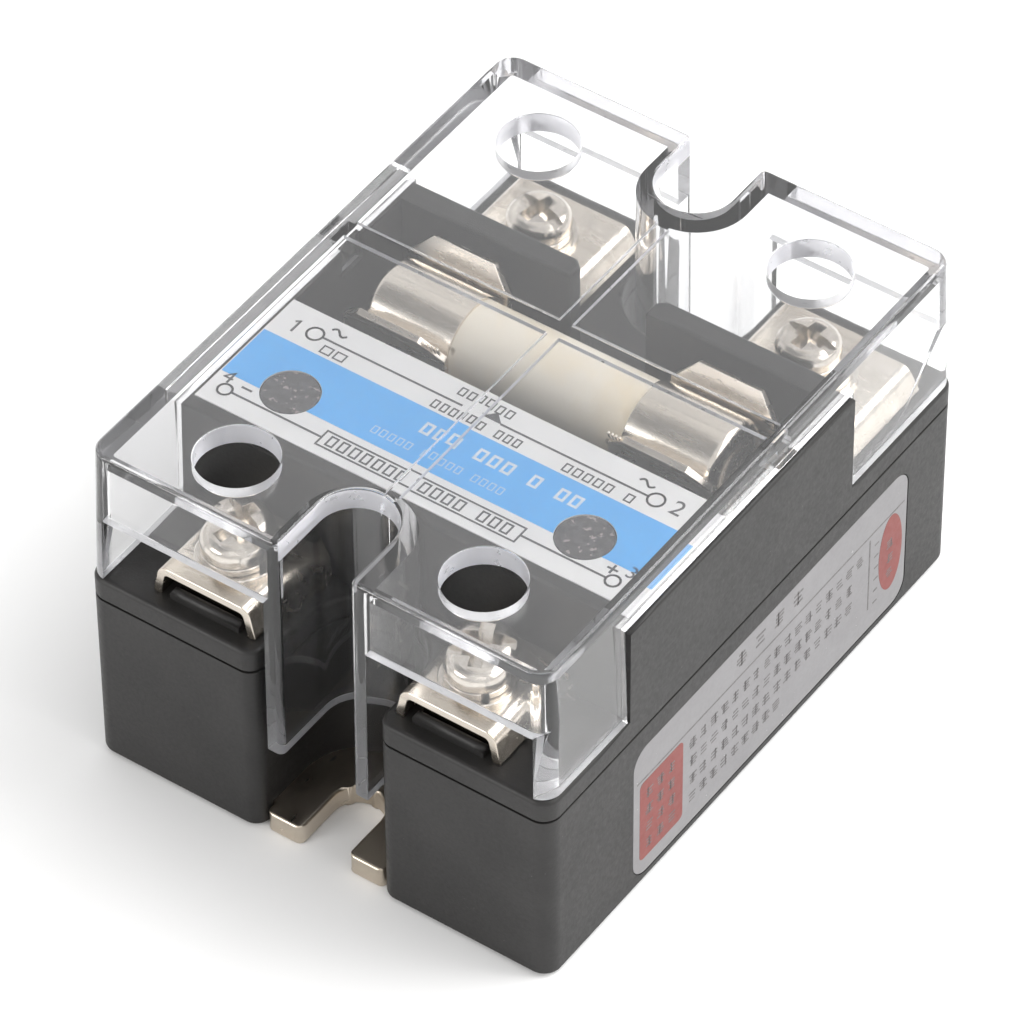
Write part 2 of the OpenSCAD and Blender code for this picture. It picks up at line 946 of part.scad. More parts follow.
module gate_leads() {
    top = chip_z + chip_t;
    bend_z = board_z - 1.8;
    color([0.8, 0.79, 0.76])
        union() {
            translate([-gate_x, substrate_y - gate_y - 3, 0]) {
                soldered_wire(board_top + 0.8);
                translate([0, 0, top])
                    cylinder(r = wire_r, h = board_z - top);
            }
            translate([gate_x, board_y1 - 1.2, 0]) {
                soldered_wire(board_top + 0.8);
                translate([0, 0, bend_z])
                    cylinder(r = wire_r, h = board_z - bend_z);
            }
            translate([gate_x, substrate_y + gate_y + wire_r, bend_z + wire_r])
                rotate([90, 0, 0])
                    cylinder(r = wire_r, h = substrate_y + gate_y - board_y1 + 1.2 + 2 * wire_r);
            translate([gate_x, substrate_y + gate_y, top])
                cylinder(r = wire_r, h = bend_z - top + 2 * wire_r);
        }
}

module control_board() {
    color([0.14, 0.38, 0.22])
        difference() {
            box(-board_w / 2, board_w / 2, board_y0, board_y1, board_z, board_top);
            slab(board_z - over, board_top + over)
                end_notch(notch_w / 2 + case_wall + 0.5, front_notch_y, -1, half_l);
            translate([-gate_x, substrate_y - gate_y - 3, 0])
                wire_hole();
            translate([gate_x, board_y1 - 1.2, 0])
                wire_hole();
            for (sx = [-1, 1]) {
                translate([-lens_x + sx * led_pitch / 2, lens_cy, 0])
                    wire_hole();
                translate([sx * pin_x, pin_y, 0])
                    cylinder(r = pin_r + seat, h = 3 * board_z);
            }
        }
}

module control_leads() {
    color([0.8, 0.78, 0.74])
        for (sx = [-1, 1])
            translate([sx * pin_x, pin_y, 0])
                union() {
                    translate([0, 0, board_z - 0.6])
                        cylinder(r = pin_r, h = deck_z - board_z + 0.6);
                    translate([0, 0, board_top])
                        cylinder(r1 = 2.5 * pin_r, r2 = pin_r, h = 0.6);
                }
}

module opto_driver() {
    w = 8.6;
    l = 6.4;
    h = 3.4;
    stand = 0.5;
    color([0.93, 0.93, 0.9])
        translate([0, opto_y, board_top])
            union() {
                box(-w / 2, w / 2, -l / 2, l / 2, stand, stand + h);
                for (x = [-2.54, 0, 2.54], side = [-1, 1])
                    translate([x, side * l / 2, 0])
                        box(-0.35, 0.35, -0.5, 0.5, 0, stand + h / 2);
            }
}

module board_resistors() {
    body_r = 0.95;
    reach = 3.4;
    color([0.78, 0.68, 0.5])
        for (p = [[11, -8], [11, -11.5], [11, -15], [-9, -11.5]])
            translate([p[0], block_y0 + 18 + p[1], board_top + body_r + 0.1])
                rotate([0, 90, 0])
                    union() {
                        cylinder(r = body_r, h = 5, center = true);
                        cylinder(r = wire_r, h = 2 * reach, center = true);
                        for (side = [-1, 1])
                            translate([0, 0, side * (reach - wire_r)])
                                rotate([0, 90, 0])
                                    cylinder(r = wire_r, h = body_r + 0.1);
                    }
}

module snubber_capacitor() {
    h = 4.6;
    color([0.75, 0.28, 0.16])
        box(6, 16, board_y1 - 6.6, board_y1 - 2.9, board_top, board_top + h);
}

module drive_transistor() {
    h = 4.2;
    color([0.12, 0.12, 0.12])
        translate([-12, board_y1 - 3.6, board_top])
            difference() {
                cylinder(d = 4.6, h = h);
                box(-3, 3, 1.4, 3, -over, h + over);
            }
}

module potting_gel() {
    color([0.86, 0.87, 0.9, 0.6])
        difference() {
            slab(plate_t, gel_top)
                puck_inside(body_w, body_l, corner_r, notch_w, case_wall);
            ceramic_substrate();
            copper_pads();
            thyristor_chip(-1);
            thyristor_chip(1);
            chip_bridge();
            power_lead(-1);
            fuse_lead();
            gate_leads();
        }
}

base_plate();
lower_case();
upper_case();
clear_cover();
top_label();
side_label();
lens(-1, [0.3, 0.1, 0.1]);  // indicator_lens
lens(1, [0.22, 0.22, 0.24]);  // blank_lens
indicator_led();
fuse_tube();
fuse_cap(-1);  // fuse_cap_left
fuse_cap(1);  // fuse_cap_right
fuse_element();
fuse_filler();
fuse_clip(-1);  // fuse_clip_left
fuse_clip(1);  // fuse_clip_right
clip_rivets();
terminal_bar(0);  // output_terminal_1
terminal_bar(1);  // output_terminal_2
terminal_bar(2);  // control_terminal_3
terminal_bar(3);  // control_terminal_4
terminal_nuts();
clamp_plate(0);  // clamp_plate_1
clamp_plate(1);  // clamp_plate_2
clamp_plate(2);  // clamp_plate_3
clamp_plate(3);  // clamp_plate_4
clamp_washers(0);  // clamp_washers_1
clamp_washers(1);  // clamp_washers_2
clamp_washers(2);  // clamp_washers_3
clamp_washers(3);  // clamp_washers_4
terminal_screw(0);  // terminal_screw_1
terminal_screw(1);  // terminal_screw_2
terminal_screw(2);  // terminal_screw_3
terminal_screw(3);  // terminal_screw_4
ceramic_substrate();
copper_pads();
thyristor_chip(-1);  // thyristor_chip_a
thyristor_chip(1);  // thyristor_chip_b
chip_bridge();
power_lead(-1);  // power_lead_1
power_lead(1);  // power_lead_2
fuse_lead();
gate_leads();
control_board();
opto_driver();
board_resistors();
snubber_capacitor();
drive_transistor();
control_leads();
potting_gel();
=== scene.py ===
import bpy
import bmesh
import json
import math
import random
from mathutils import Matrix, Vector

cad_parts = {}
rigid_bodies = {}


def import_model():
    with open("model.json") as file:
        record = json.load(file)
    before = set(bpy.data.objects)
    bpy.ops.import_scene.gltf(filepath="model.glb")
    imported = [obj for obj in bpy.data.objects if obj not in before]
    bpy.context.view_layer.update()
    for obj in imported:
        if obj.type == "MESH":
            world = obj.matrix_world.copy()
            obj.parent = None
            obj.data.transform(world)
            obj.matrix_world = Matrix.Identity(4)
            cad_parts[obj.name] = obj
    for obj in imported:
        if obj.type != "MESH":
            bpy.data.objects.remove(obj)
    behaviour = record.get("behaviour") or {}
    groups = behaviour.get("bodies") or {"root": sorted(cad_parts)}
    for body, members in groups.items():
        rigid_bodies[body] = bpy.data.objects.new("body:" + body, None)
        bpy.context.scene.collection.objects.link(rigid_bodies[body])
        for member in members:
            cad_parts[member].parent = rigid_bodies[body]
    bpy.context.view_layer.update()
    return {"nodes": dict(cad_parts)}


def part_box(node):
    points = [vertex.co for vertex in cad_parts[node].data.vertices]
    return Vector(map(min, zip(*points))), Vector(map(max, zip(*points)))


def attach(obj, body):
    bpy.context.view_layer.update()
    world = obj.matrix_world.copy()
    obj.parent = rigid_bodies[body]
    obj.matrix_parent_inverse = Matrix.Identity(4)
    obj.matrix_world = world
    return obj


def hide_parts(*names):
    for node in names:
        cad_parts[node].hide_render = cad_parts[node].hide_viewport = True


for o in list(bpy.data.objects):
    bpy.data.objects.remove(o)

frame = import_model()
nodes = frame["nodes"]
scene = bpy.context.scene
MM = 0.001
FLAT_DEG = 0.6
SHARP_DEG = 32.0


def box_mm(node):
    """A CAD node's lowest and highest corner in millimetres."""
    lo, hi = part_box(node)
    return lo / MM, hi / MM


# ---------------------------------------------------------------- materials


def material(name, base, alt, rough, metallic=0.0, mottle=260.0, grain=1400.0, stretch=(1, 1, 1),
             bumps=(), ior=1.5, transmission=0.0, coat=0.0, specks=None, contrast=(0.35, 0.65)):
    """A principled material whose colour, roughness and height all vary over the surface.

    base and alt are the two colours that mottle into each other, rough is the roughness
    range, bumps are (scale, height in mm, detail) layers, specks is (colour, scale, share)."""
    mat = bpy.data.materials.new(name)
    mat.use_nodes = True
    tree = mat.node_tree
    new, link = tree.nodes.new, tree.links.new
    shader = tree.nodes["Principled BSDF"]
    coords = new("ShaderNodeTexCoord")
    stretched = new("ShaderNodeMapping")
    stretched.inputs["Scale"].default_value = stretch
    link(coords.outputs["Object"], stretched.inputs["Vector"])
    place = stretched.outputs["Vector"]

    def noise(scale, detail=3.0, distortion=0.0, roughness=0.55):
        n = new("ShaderNodeTexNoise")
        n.inputs["Scale"].default_value = scale
        n.inputs["Detail"].default_value = detail
        n.inputs["Roughness"].default_value = roughness
        n.inputs["Distortion"].default_value = distortion
        link(place, n.inputs["Vector"])
        return n.outputs["Fac"]

    def spread(value, lo, hi, out_lo, out_hi):
        r = new("ShaderNodeMapRange")
        for key, v in zip(("From Min", "From Max", "To Min", "To Max"), (lo, hi, out_lo, out_hi)):
            r.inputs[key].default_value = v
        link(value, r.inputs["Value"])
        return r.outputs["Result"]

    def mixed(factor, a, b):
        m = new("ShaderNodeMix")
        m.data_type = "RGBA"
        link(factor, m.inputs["Factor"])
        for key, v in (("A", a), ("B", b)):
            socket = next(s for s in m.inputs if s.name == key and s.type == "RGBA")
            if hasattr(v, "is_linked"):
                link(v, socket)
            else:
                socket.default_value = (*v, 1.0)
        return next(s for s in m.outputs if s.type == "RGBA")

    colour = mixed(spread(noise(mottle, 5.0, 0.4), contrast[0], contrast[1], 0.0, 1.0), base, alt)
    if specks:
        tint, scale, share = specks
        colour = mixed(spread(noise(scale, 2.0), 1.0 - share, 1.03 - share, 0.0, 1.0), colour, tint)
    link(colour, shader.inputs["Base Color"])
    link(spread(noise(grain, 4.0), 0.3, 0.7, rough[0], rough[1]), shader.inputs["Roughness"])
    normal = None
    for scale, height, detail in bumps:
        b = new("ShaderNodeBump")
        b.inputs["Strength"].default_value = 1.0
        b.inputs["Distance"].default_value = height * MM
        link(noise(scale, detail), b.inputs["Height"])
        if normal is not None:
            link(normal, b.inputs["Normal"])
        normal = b.outputs["Normal"]
    if normal is not None:
        link(normal, shader.inputs["Normal"])
    shader.inputs["Metallic"].default_value = metallic
    shader.inputs["IOR"].default_value = ior
    shader.inputs["Transmission Weight"].default_value = transmission
    shader.inputs["Coat Weight"].default_value = coat
    return mat


BLACK = material("black_moulding", (0.016, 0.0153, 0.015), (0.023, 0.022, 0.0215), (0.40, 0.52), ior=1.40,
                 mottle=140, grain=2600, bumps=((5200, 0.010, 3), (900, 0.006, 2)),
                 specks=((0.09, 0.088, 0.085), 1500, 0.235))
CLEAR = material("clear_cover", (0.970, 0.970, 0.977), (0.952, 0.953, 0.962), (0.015, 0.06),
                 mottle=90, grain=400, bumps=((110, 0.004, 2), (900, 0.0006, 3)),
                 ior=1.5, transmission=0.965)
CLEAR_WALL = material("clear_walls", (0.975, 0.975, 0.980), (0.960, 0.961, 0.968), (0.015, 0.05),
                      mottle=90, grain=400, bumps=((110, 0.004, 2), (900, 0.0006, 3)),
                      ior=1.5, transmission=0.99)
FROST = material("cover_edges", (0.95, 0.95, 0.995), (0.90, 0.90, 0.955), (0.25, 0.45),
                 mottle=300, grain=900, bumps=((900, 0.006, 3),), ior=1.5, transmission=0.60)
NICKEL = material("nickel_sheet", (0.72, 0.66, 0.58), (0.60, 0.54, 0.465), (0.16, 0.30),
                  metallic=1.0, mottle=320, grain=900, stretch=(0.35, 1.6, 1.6),
                  bumps=((700, 0.006, 4), (3800, 0.0012, 3)), specks=((0.42, 0.37, 0.31), 700, 0.27))
NICKEL_CLIP = material("nickel_clip", (0.95, 0.88, 0.79), (0.84, 0.76, 0.67), (0.22, 0.36),
                       metallic=1.0, mottle=320, grain=900, stretch=(0.35, 1.6, 1.6),
                       bumps=((700, 0.006, 4), (3800, 0.0012, 3)), specks=((0.55, 0.48, 0.40), 700, 0.27))
NICKEL_CAP = material("nickel_cap", (0.84, 0.775, 0.69), (0.69, 0.63, 0.55), (0.17, 0.30),
                      metallic=1.0, mottle=260, grain=1100, stretch=(0.3, 2.0, 2.0),
                      bumps=((420, 0.005, 3), (5200, 0.0010, 3)), specks=((0.45, 0.40, 0.34), 520, 0.28))
NICKEL_SCREW = material("nickel_screw", (0.70, 0.65, 0.585), (0.54, 0.495, 0.435), (0.14, 0.26),
                        metallic=1.0, mottle=500, grain=1500,
                        bumps=((900, 0.006, 3), (5000, 0.0012, 3)), specks=((0.40, 0.35, 0.30), 1100, 0.27))
BASE = material("base_nickel", (0.66, 0.59, 0.50), (0.50, 0.435, 0.355), (0.26, 0.42),
                metallic=1.0, mottle=180, grain=900, stretch=(1.0, 0.25, 1.0),
                bumps=((600, 0.008, 4), (3200, 0.002, 3)), specks=((0.36, 0.33, 0.29), 640, 0.27))
CERAMIC = material("fuse_ceramic", (1.0, 0.925, 0.79), (0.98, 0.82, 0.56), (0.38, 0.52),
                   mottle=95, grain=700, contrast=(0.46, 0.72),
                   bumps=((2600, 0.004, 3),), specks=((0.40, 0.33, 0.24), 330, 0.225), coat=0.15)
LABEL = material("label_film", (0.925, 0.918, 0.908), (0.895, 0.888, 0.878), (0.30, 0.40),
                 mottle=200, grain=1800, bumps=((1800, 0.0015, 2),), coat=0.2)
LABEL_SIDE = material("label_silver", (0.22, 0.215, 0.22), (0.195, 0.19, 0.195), (0.34, 0.44),
                      mottle=160, grain=2600, bumps=((3000, 0.0012, 2),),
                      specks=((0.50, 0.50, 0.50), 2600, 0.25))
BLUE = material("print_blue", (0.066, 0.45, 0.98), (0.08, 0.475, 0.99), (0.30, 0.40),
                mottle=300, grain=1800, bumps=((1800, 0.001, 2),), coat=0.2)
RED = material("print_red", (0.19, 0.024, 0.017), (0.17, 0.020, 0.014), (0.34, 0.44),
               mottle=300, grain=1800, bumps=((2600, 0.001, 2),))
INK = material("print_black", (0.045, 0.045, 0.05), (0.075, 0.075, 0.08), (0.35, 0.5),
               mottle=1600, grain=1800, bumps=((2600, 0.001, 2),))
INK_SIDE = material("print_dark", (0.075, 0.07, 0.07), (0.14, 0.13, 0.13), (0.35, 0.5),
                    mottle=2200, grain=1800, bumps=((2600, 0.001, 2),))
WHITE_INK = material("print_white", (0.80, 0.86, 0.92), (0.62, 0.76, 0.90), (0.3, 0.4),
                     mottle=1500, grain=1800, bumps=((2600, 0.001, 2),))
PALE_INK = material("print_pale", (0.42, 0.66, 0.93), (0.36, 0.62, 0.92), (0.3, 0.4),
                    mottle=900, bumps=((2600, 0.001, 2),))
LENS = material("smoked_lens", (0.055, 0.050, 0.053), (0.098, 0.093, 0.097), (0.32, 0.46),
                mottle=1500, grain=1800, contrast=(0.42, 0.58), bumps=((2600, 0.006, 2),),
                specks=((0.32, 0.28, 0.26), 1700, 0.40))
LED_RED = material("led_epoxy", (0.70, 0.03, 0.02), (0.60, 0.02, 0.015), (0.08, 0.16),
                   mottle=500, grain=900, bumps=((800, 0.002, 2),), coat=0.4)
SILVER = material("silver_strip", (0.82, 0.81, 0.78), (0.70, 0.69, 0.66), (0.22, 0.36), metallic=1.0,
                  mottle=400, bumps=((1500, 0.002, 3),))
SAND = material("quartz_sand", (0.60, 0.50, 0.34), (0.76, 0.68, 0.52), (0.7, 0.9),
                mottle=2600, grain=2600, bumps=((3000, 0.10, 4),), specks=((0.30, 0.22, 0.14), 3000, 0.30))
STEEL = material("plain_steel", (0.50, 0.485, 0.465), (0.38, 0.37, 0.355), (0.28, 0.44), metallic=1.0,
                 mottle=500, bumps=((1400, 0.004, 3),))
ALUMINA = material("alumina", (0.80, 0.79, 0.75), (0.74, 0.73, 0.69), (0.5, 0.65),
                   mottle=400, bumps=((2800, 0.004, 3),))
COPPER = material("copper", (0.72, 0.36, 0.22), (0.52, 0.24, 0.14), (0.22, 0.42), metallic=1.0,
                  mottle=260, stretch=(1, 0.3, 1), bumps=((900, 0.004, 4),),
                  specks=((0.22, 0.10, 0.06), 500, 0.27))
SILICON = material("silicon_die", (0.09, 0.095, 0.11), (0.12, 0.12, 0.15), (0.10, 0.2),
                   mottle=700, bumps=((2600, 0.001, 2),), coat=0.3)
BOARD = material("board_resist", (0.025, 0.115, 0.045), (0.032, 0.145, 0.060), (0.24, 0.38),
                 mottle=800, grain=2400, bumps=((2200, 0.006, 2),), coat=0.3)
PACKAGE_WHITE = material("package_white", (0.76, 0.76, 0.72), (0.70, 0.70, 0.66), (0.45, 0.6),
                         mottle=700, bumps=((4200, 0.006, 3),))
PACKAGE_BLACK = material("package_black", (0.022, 0.022, 0.023), (0.033, 0.033, 0.034), (0.40, 0.55),
                         mottle=900, bumps=((4200, 0.008, 3),))
RESISTOR = material("resistor_coat", (0.58, 0.42, 0.22), (0.50, 0.36, 0.18), (0.32, 0.46),
                    mottle=900, bumps=((2600, 0.006, 2),))
CAPACITOR = material("capacitor_dip", (0.40, 0.085, 0.035), (0.33, 0.065, 0.028), (0.14, 0.28),
                     mottle=500, bumps=((700, 0.02, 2),), coat=0.3)
SOLDER = material("solder", (0.66, 0.655, 0.64), (0.52, 0.51, 0.50), (0.22, 0.4), metallic=1.0,
                  mottle=900, bumps=((1500, 0.01, 3),))
GEL = material("silicone_gel", (0.70, 0.71, 0.74), (0.64, 0.65, 0.69), (0.10, 0.22),
               mottle=200, bumps=((160, 0.03, 2),), coat=0.3)

# ---------------------------------------------------------------- mesh helpers


def finish_mesh(bm, sharp_deg):
    """Smooth faces, with the edges steeper than sharp_deg kept sharp."""
    bmesh.ops.recalc_face_normals(bm, faces=bm.faces)
    for f in bm.faces:
        f.smooth = True
    for e in bm.edges:
        e.smooth = not (len(e.link_faces) == 2 and e.calc_face_angle(0.0) > math.radians(sharp_deg))


def piece(name, bm, mat, body, replaces=(), bevel=0.0, segments=2, by_weight=False,
          sharp_deg=SHARP_DEG):
    """Turns a bmesh in millimetres into an object that rides on a body."""
    finish_mesh(bm, sharp_deg)
    mesh = bpy.data.meshes.new(name)
    bmesh.ops.scale(bm, vec=(MM, MM, MM), verts=bm.verts)
    bm.to_mesh(mesh)
    bm.free()
    mesh.materials.append(mat)
    o = bpy.data.objects.new(name, mesh)
    scene.collection.objects.link(o)
    if bevel:
        add_bevel(o, bevel, segments, by_weight, sharp_deg)
    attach(o, body)
    if replaces:
        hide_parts(*replaces)
    return o


def add_bevel(o, width, segments, by_weight=False, sharp_deg=SHARP_DEG):
    m = o.modifiers.new("edge", "BEVEL")
    m.width = width * MM
    m.segments = segments
    m.limit_method = "WEIGHT" if by_weight else "ANGLE"
    m.angle_limit = math.radians(sharp_deg)
    m.harden_normals = True
    m.use_clamp_overlap = not by_weight
    m.miter_outer = "MITER_ARC"
    return m


def dress(node, mat, bevel=0.0, segments=2):
    """A CAD node keeps its shape and gets a finished material and softened edges."""
    o = nodes[node]
    o.data.materials.clear()
    o.data.materials.append(mat)
    for name in ("custom_normal", "sharp_edge", "sharp_face"):
        if name in o.data.attributes:
            o.data.attributes.remove(o.data.attributes[name])
    o.data.polygons.foreach_set("use_smooth", [True] * len(o.data.polygons))
    weld = o.modifiers.new("weld", "WELD")
    weld.merge_threshold = 0.0005 * MM
    flat = o.modifiers.new("flats", "DECIMATE")
    flat.decimate_type = "DISSOLVE"
    flat.angle_limit = math.radians(FLAT_DEG)
    if bevel:
        add_bevel(o, bevel, segments)
    else:
        split = o.modifiers.new("split", "EDGE_SPLIT")
        split.split_angle = math.radians(SHARP_DEG)


def baked(o):
    """A bmesh in millimetres of an object with its modifiers applied; the object is removed."""
    dg = bpy.context.evaluated_depsgraph_get()
    e = o.evaluated_get(dg)
    bm = bmesh.new()
    bm.from_mesh(e.to_mesh())
    e.to_mesh_clear()
    bpy.data.objects.remove(o)
    bmesh.ops.scale(bm, vec=(1 / MM,) * 3, verts=bm.verts)
    return bm


def temp_object(bm):
    mesh = bpy.data.meshes.new("temp")
    bmesh.ops.recalc_face_normals(bm, faces=bm.faces)
    bmesh.ops.scale(bm, vec=(MM,) * 3, verts=bm.verts)
    bm.to_mesh(mesh)
    bm.free()
    o = bpy.data.objects.new("temp", mesh)
    scene.collection.objects.link(o)
    return o


def combined(bm_a, bm_b, operation):
    """Boolean of two closed meshes, both in millimetres."""
    a, b = temp_object(bm_a), temp_object(bm_b)
    m = a.modifiers.new("cut", "BOOLEAN")
    m.operation = operation
    m.solver = "EXACT"
    m.object = b
    bpy.context.view_layer.update()
    out = baked(a)
    bpy.data.objects.remove(b)
    return out


def lathe(bm, profile, steps=64, centre=(0, 0, 0), axis="Z"):
    """Revolves (radius, height) points about an axis; a radius of 0 closes the end."""
    rings = []
    for r, h in profile:
        ring = []
        count = 1 if r < 1e-6 else steps
        for i in range(count):
            a = 2 * math.pi * i / steps
            p = Vector((r * math.cos(a), r * math.sin(a), h))
            if axis == "X":
                p = Vector((p.z, p.x, p.y))
            ring.append(bm.verts.new(p + Vector(centre)))
        rings.append(ring)
    for lo, hi in zip(rings, rings[1:]):
        for i in range(steps):
            j = (i + 1) % steps
            quad = [lo[i % len(lo)], lo[j % len(lo)], hi[j % len(hi)], hi[i % len(hi)]]
            face = []
            for v in quad:
                if v not in face:
                    face.append(v)
            if len(face) > 2:
                bm.faces.new(face)
    return rings


def closed_lathe(bm, profile, steps=64, centre=(0, 0, 0), axis="Z"):
    """As lathe, for a profile that runs round a hollow and meets itself."""
    rings = lathe(bm, profile, steps, centre, axis)
    lo, hi = rings[-1], rings[0]
    for i in range(steps):
        j = (i + 1) % steps
        bm.faces.new([lo[i], lo[j], hi[j], hi[i]])


def arc(cx, cy, r, a0, a1, n):
    return [(cx + r * math.cos(math.radians(a0 + (a1 - a0) * i / n)),
             cy + r * math.sin(math.radians(a0 + (a1 - a0) * i / n))) for i in range(n + 1)]


def prism(bm, outline, place):
    """Closed prism from a 2-D outline; place(u, v, 0 or 1) gives the 3-D point."""
    ends = [[bm.verts.new(place(u, v, w)) for u, v in outline] for w in (0, 1)]
    bm.faces.new(ends[0])
    bm.faces.new(list(reversed(ends[1])))
    for i in range(len(outline)):
        j = (i + 1) % len(outline)
        bm.faces.new([ends[0][j], ends[0][i], ends[1][i], ends[1][j]])


def round_corners(points, radii, n=5):
    """Replaces each inner corner of an open polyline by an arc of its radius."""
    out = [Vector(points[0])]
    for a, b, c, r in zip(points, points[1:], points[2:], radii):
        a, b, c = Vector(a), Vector(b), Vector(c)
        u, v = (a - b).normalized(), (c - b).normalized()
        half = u.angle(v) / 2
        reach = r / math.tan(half)
        centre = b + (u + v).normalized() * (r / math.sin(half))
        start, end = b + u * reach - centre, b + v * reach - centre
        turn = start.angle_signed(end)
        for i in range(n + 1):
            t = -turn * i / n
            out.append(centre + Vector((start.x * math.cos(t) - start.y * math.sin(t),
                                        start.x * math.sin(t) + start.y * math.cos(t))))
    out.append(Vector(points[-1]))
    return out


def sheet_outline(path, thickness):
    """Outline of a bent sheet from its outer line; the sheet lies to the right of the path."""
    inner = []
    for i, p in enumerate(path):
        before = (p - path[i - 1]).normalized() if i else (path[1] - p).normalized()
        after = (path[i + 1] - p).normalized() if i + 1 < len(path) else before
        d = (before + after).normalized()
        normal = Vector((d.y, -d.x))
        inner.append(p + normal * thickness / max(0.3, normal.dot(Vector((before.y, -before.x)))))
    return [tuple(p) for p in path] + [tuple(p) for p in reversed(inner)]


# ---------------------------------------------------------------- case, base and hidden pieces


def centre_mm(node):
    lo, hi = box_mm(node)
    return (lo + hi) / 2


screw_centres = [centre_mm("terminal_screw_%d" % n) for n in (1, 2, 3, 4)]
lens_centres = [centre_mm("indicator_lens"), centre_mm("blank_lens")]
clip_centres = [centre_mm("fuse_clip_left"), centre_mm("fuse_clip_right")]
corner_cuts = [Vector((0, 0, 0)), Vector((7.7, 14.5, 0)), Vector((-7.7, -14.5, 0))]
cut_centres = [Vector((round(c.x, 3), round(c.y, 3), 0)).freeze()
               for c in screw_centres + lens_centres + clip_centres + corner_cuts]


def cad_copy(node):
    """A CAD node's own mesh in millimetres, welded, with its flat faces joined up.

    Cuts through the holes' centres keep every joined face free of inner loops."""
    bm = bmesh.new()
    bm.from_mesh(nodes[node].data)
    bmesh.ops.scale(bm, vec=(1 / MM,) * 3, verts=bm.verts)
    bmesh.ops.remove_doubles(bm, verts=bm.verts, dist=0.0005)
    cuts = [((c.x, 0, 0), (1, 0, 0)) for c in cut_centres] + [((0, c.y, 0), (0, 1, 0)) for c in cut_centres]
    for place, normal in dict.fromkeys(cuts):
        got = bmesh.ops.bisect_plane(bm, geom=bm.verts[:] + bm.edges[:] + bm.faces[:], plane_co=place,
                                     plane_no=normal, dist=1e-4)
        for item in got["geom_cut"]:
            if isinstance(item, bmesh.types.BMEdge):
                item.seam = True
    bmesh.ops.dissolve_limit(bm, angle_limit=math.radians(FLAT_DEG), verts=bm.verts, edges=bm.edges,
                             delimit={"SEAM"})
    for e in bm.edges:
        e.seam = False
    return bm


def softened(name, node, mat, body, width, share, segments=3, gap_over=None):
    """A copy of a CAD node whose chosen edges are rounded; share(edge) gives how much, 0 to 1.

    gap_over is a height at which the piece seats; its outline there is lifted to show a seam."""
    bm = cad_copy(node)
    for v in bm.verts:
        if gap_over is not None and abs(v.co.z - gap_over) < 0.01:
            v.co.z += SEAM_GAP
    weight = bm.edges.layers.float.new("bevel_weight_edge")
    for e in bm.edges:
        if len(e.link_faces) == 2 and e.calc_face_angle_signed(0.0) > math.radians(SHARP_DEG):
            e[weight] = share(e)
    return piece(name, bm, mat, body, [node], bevel=width, segments=segments, by_weight=True)


case_hi = box_mm("lower_case")[1]
deck_top = box_mm("control_terminal_3")[0].z
NOTCH_REACH = 7.45
SEAM_GAP = 0.24


def outside(e, inset=0.7):
    """True for an edge on the case's outline or in one of its end notches."""
    mid = (e.verts[0].co + e.verts[1].co) / 2
    rim = abs(mid.x) > case_hi.x - inset or abs(mid.y) > case_hi.y - inset
    notch = abs(mid.x) < NOTCH_REACH and abs(mid.y) > 17.0
    return rim or notch


def case_share(e):
    a, b = e.verts
    z_a, z_b = a.co.z, b.co.z
    if abs(z_a - z_b) > 0.01:
        return 0.0
    if z_a > 30.0:
        return 0.7
    if abs(z_a - deck_top) < 0.02 and outside(e):
        return 1.0
    if abs(z_a - case_hi.z) < 0.3 and outside(e):
        return 0.12
    if z_a < 0.5:
        return 0.6
    if abs(z_a - deck_top - 1.0) < 0.02:
        return 1.0
    return 0.0


softened("case_lower", "lower_case", BLACK, "relay", 0.45, case_share)
softened("case_upper", "upper_case", BLACK, "relay", 0.45, case_share, gap_over=case_hi.z)
plate_hi = box_mm("base_plate")[1]


def plate_share(e):
    a, b = e.verts
    if (a.co - b.co).length < 0.3:
        return 0.0
    return 0.35 if abs(a.co.z - b.co.z) < 0.01 else (1.0 if abs(a.co.y) > plate_hi.y - 0.1 else 0.35)


softened("plate", "base_plate", BASE, "relay", 0.8, plate_share, 4)
dress("top_label", LABEL)
dress("side_label", LABEL_SIDE)
dress("indicator_lens", LENS, 0.06)
dress("blank_lens", LENS, 0.06)
dress("indicator_led", LED_RED)
dress("fuse_tube", CERAMIC, 0.15)
dress("fuse_element", SILVER)
dress("fuse_filler", SAND)
dress("clip_rivets", STEEL, 0.12)
for n in ("output_terminal_1", "output_terminal_2", "control_terminal_3", "control_terminal_4"):
    dress(n, NICKEL, 0.12)
dress("terminal_nuts", STEEL, 0.12)
dress("ceramic_substrate", ALUMINA, 0.05)
dress("copper_pads", COPPER, 0.04)
dress("thyristor_chip_a", SILICON, 0.04)
dress("thyristor_chip_b", SILICON, 0.04)
for n in ("chip_bridge", "power_lead_1", "power_lead_2", "fuse_lead"):
    dress(n, COPPER, 0.08)
dress("gate_leads", SOLDER)
dress("control_leads", SOLDER)
dress("control_board", BOARD, 0.05)
dress("opto_driver", PACKAGE_WHITE, 0.10)
dress("board_resistors", RESISTOR)
dress("snubber_capacitor", CAPACITOR, 0.6, 4)
dress("drive_transistor", PACKAGE_BLACK, 0.15)
dress("potting_gel", GEL)

# ---------------------------------------------------------------- clear cover

cover_hi = box_mm("clear_cover")[1]
COVER_REST_Z = 20.45
DRAFT_DEG = 1.5
ROOF_T = 2.0
RIB_H = 0.51
HOLE_REACH = 4.0


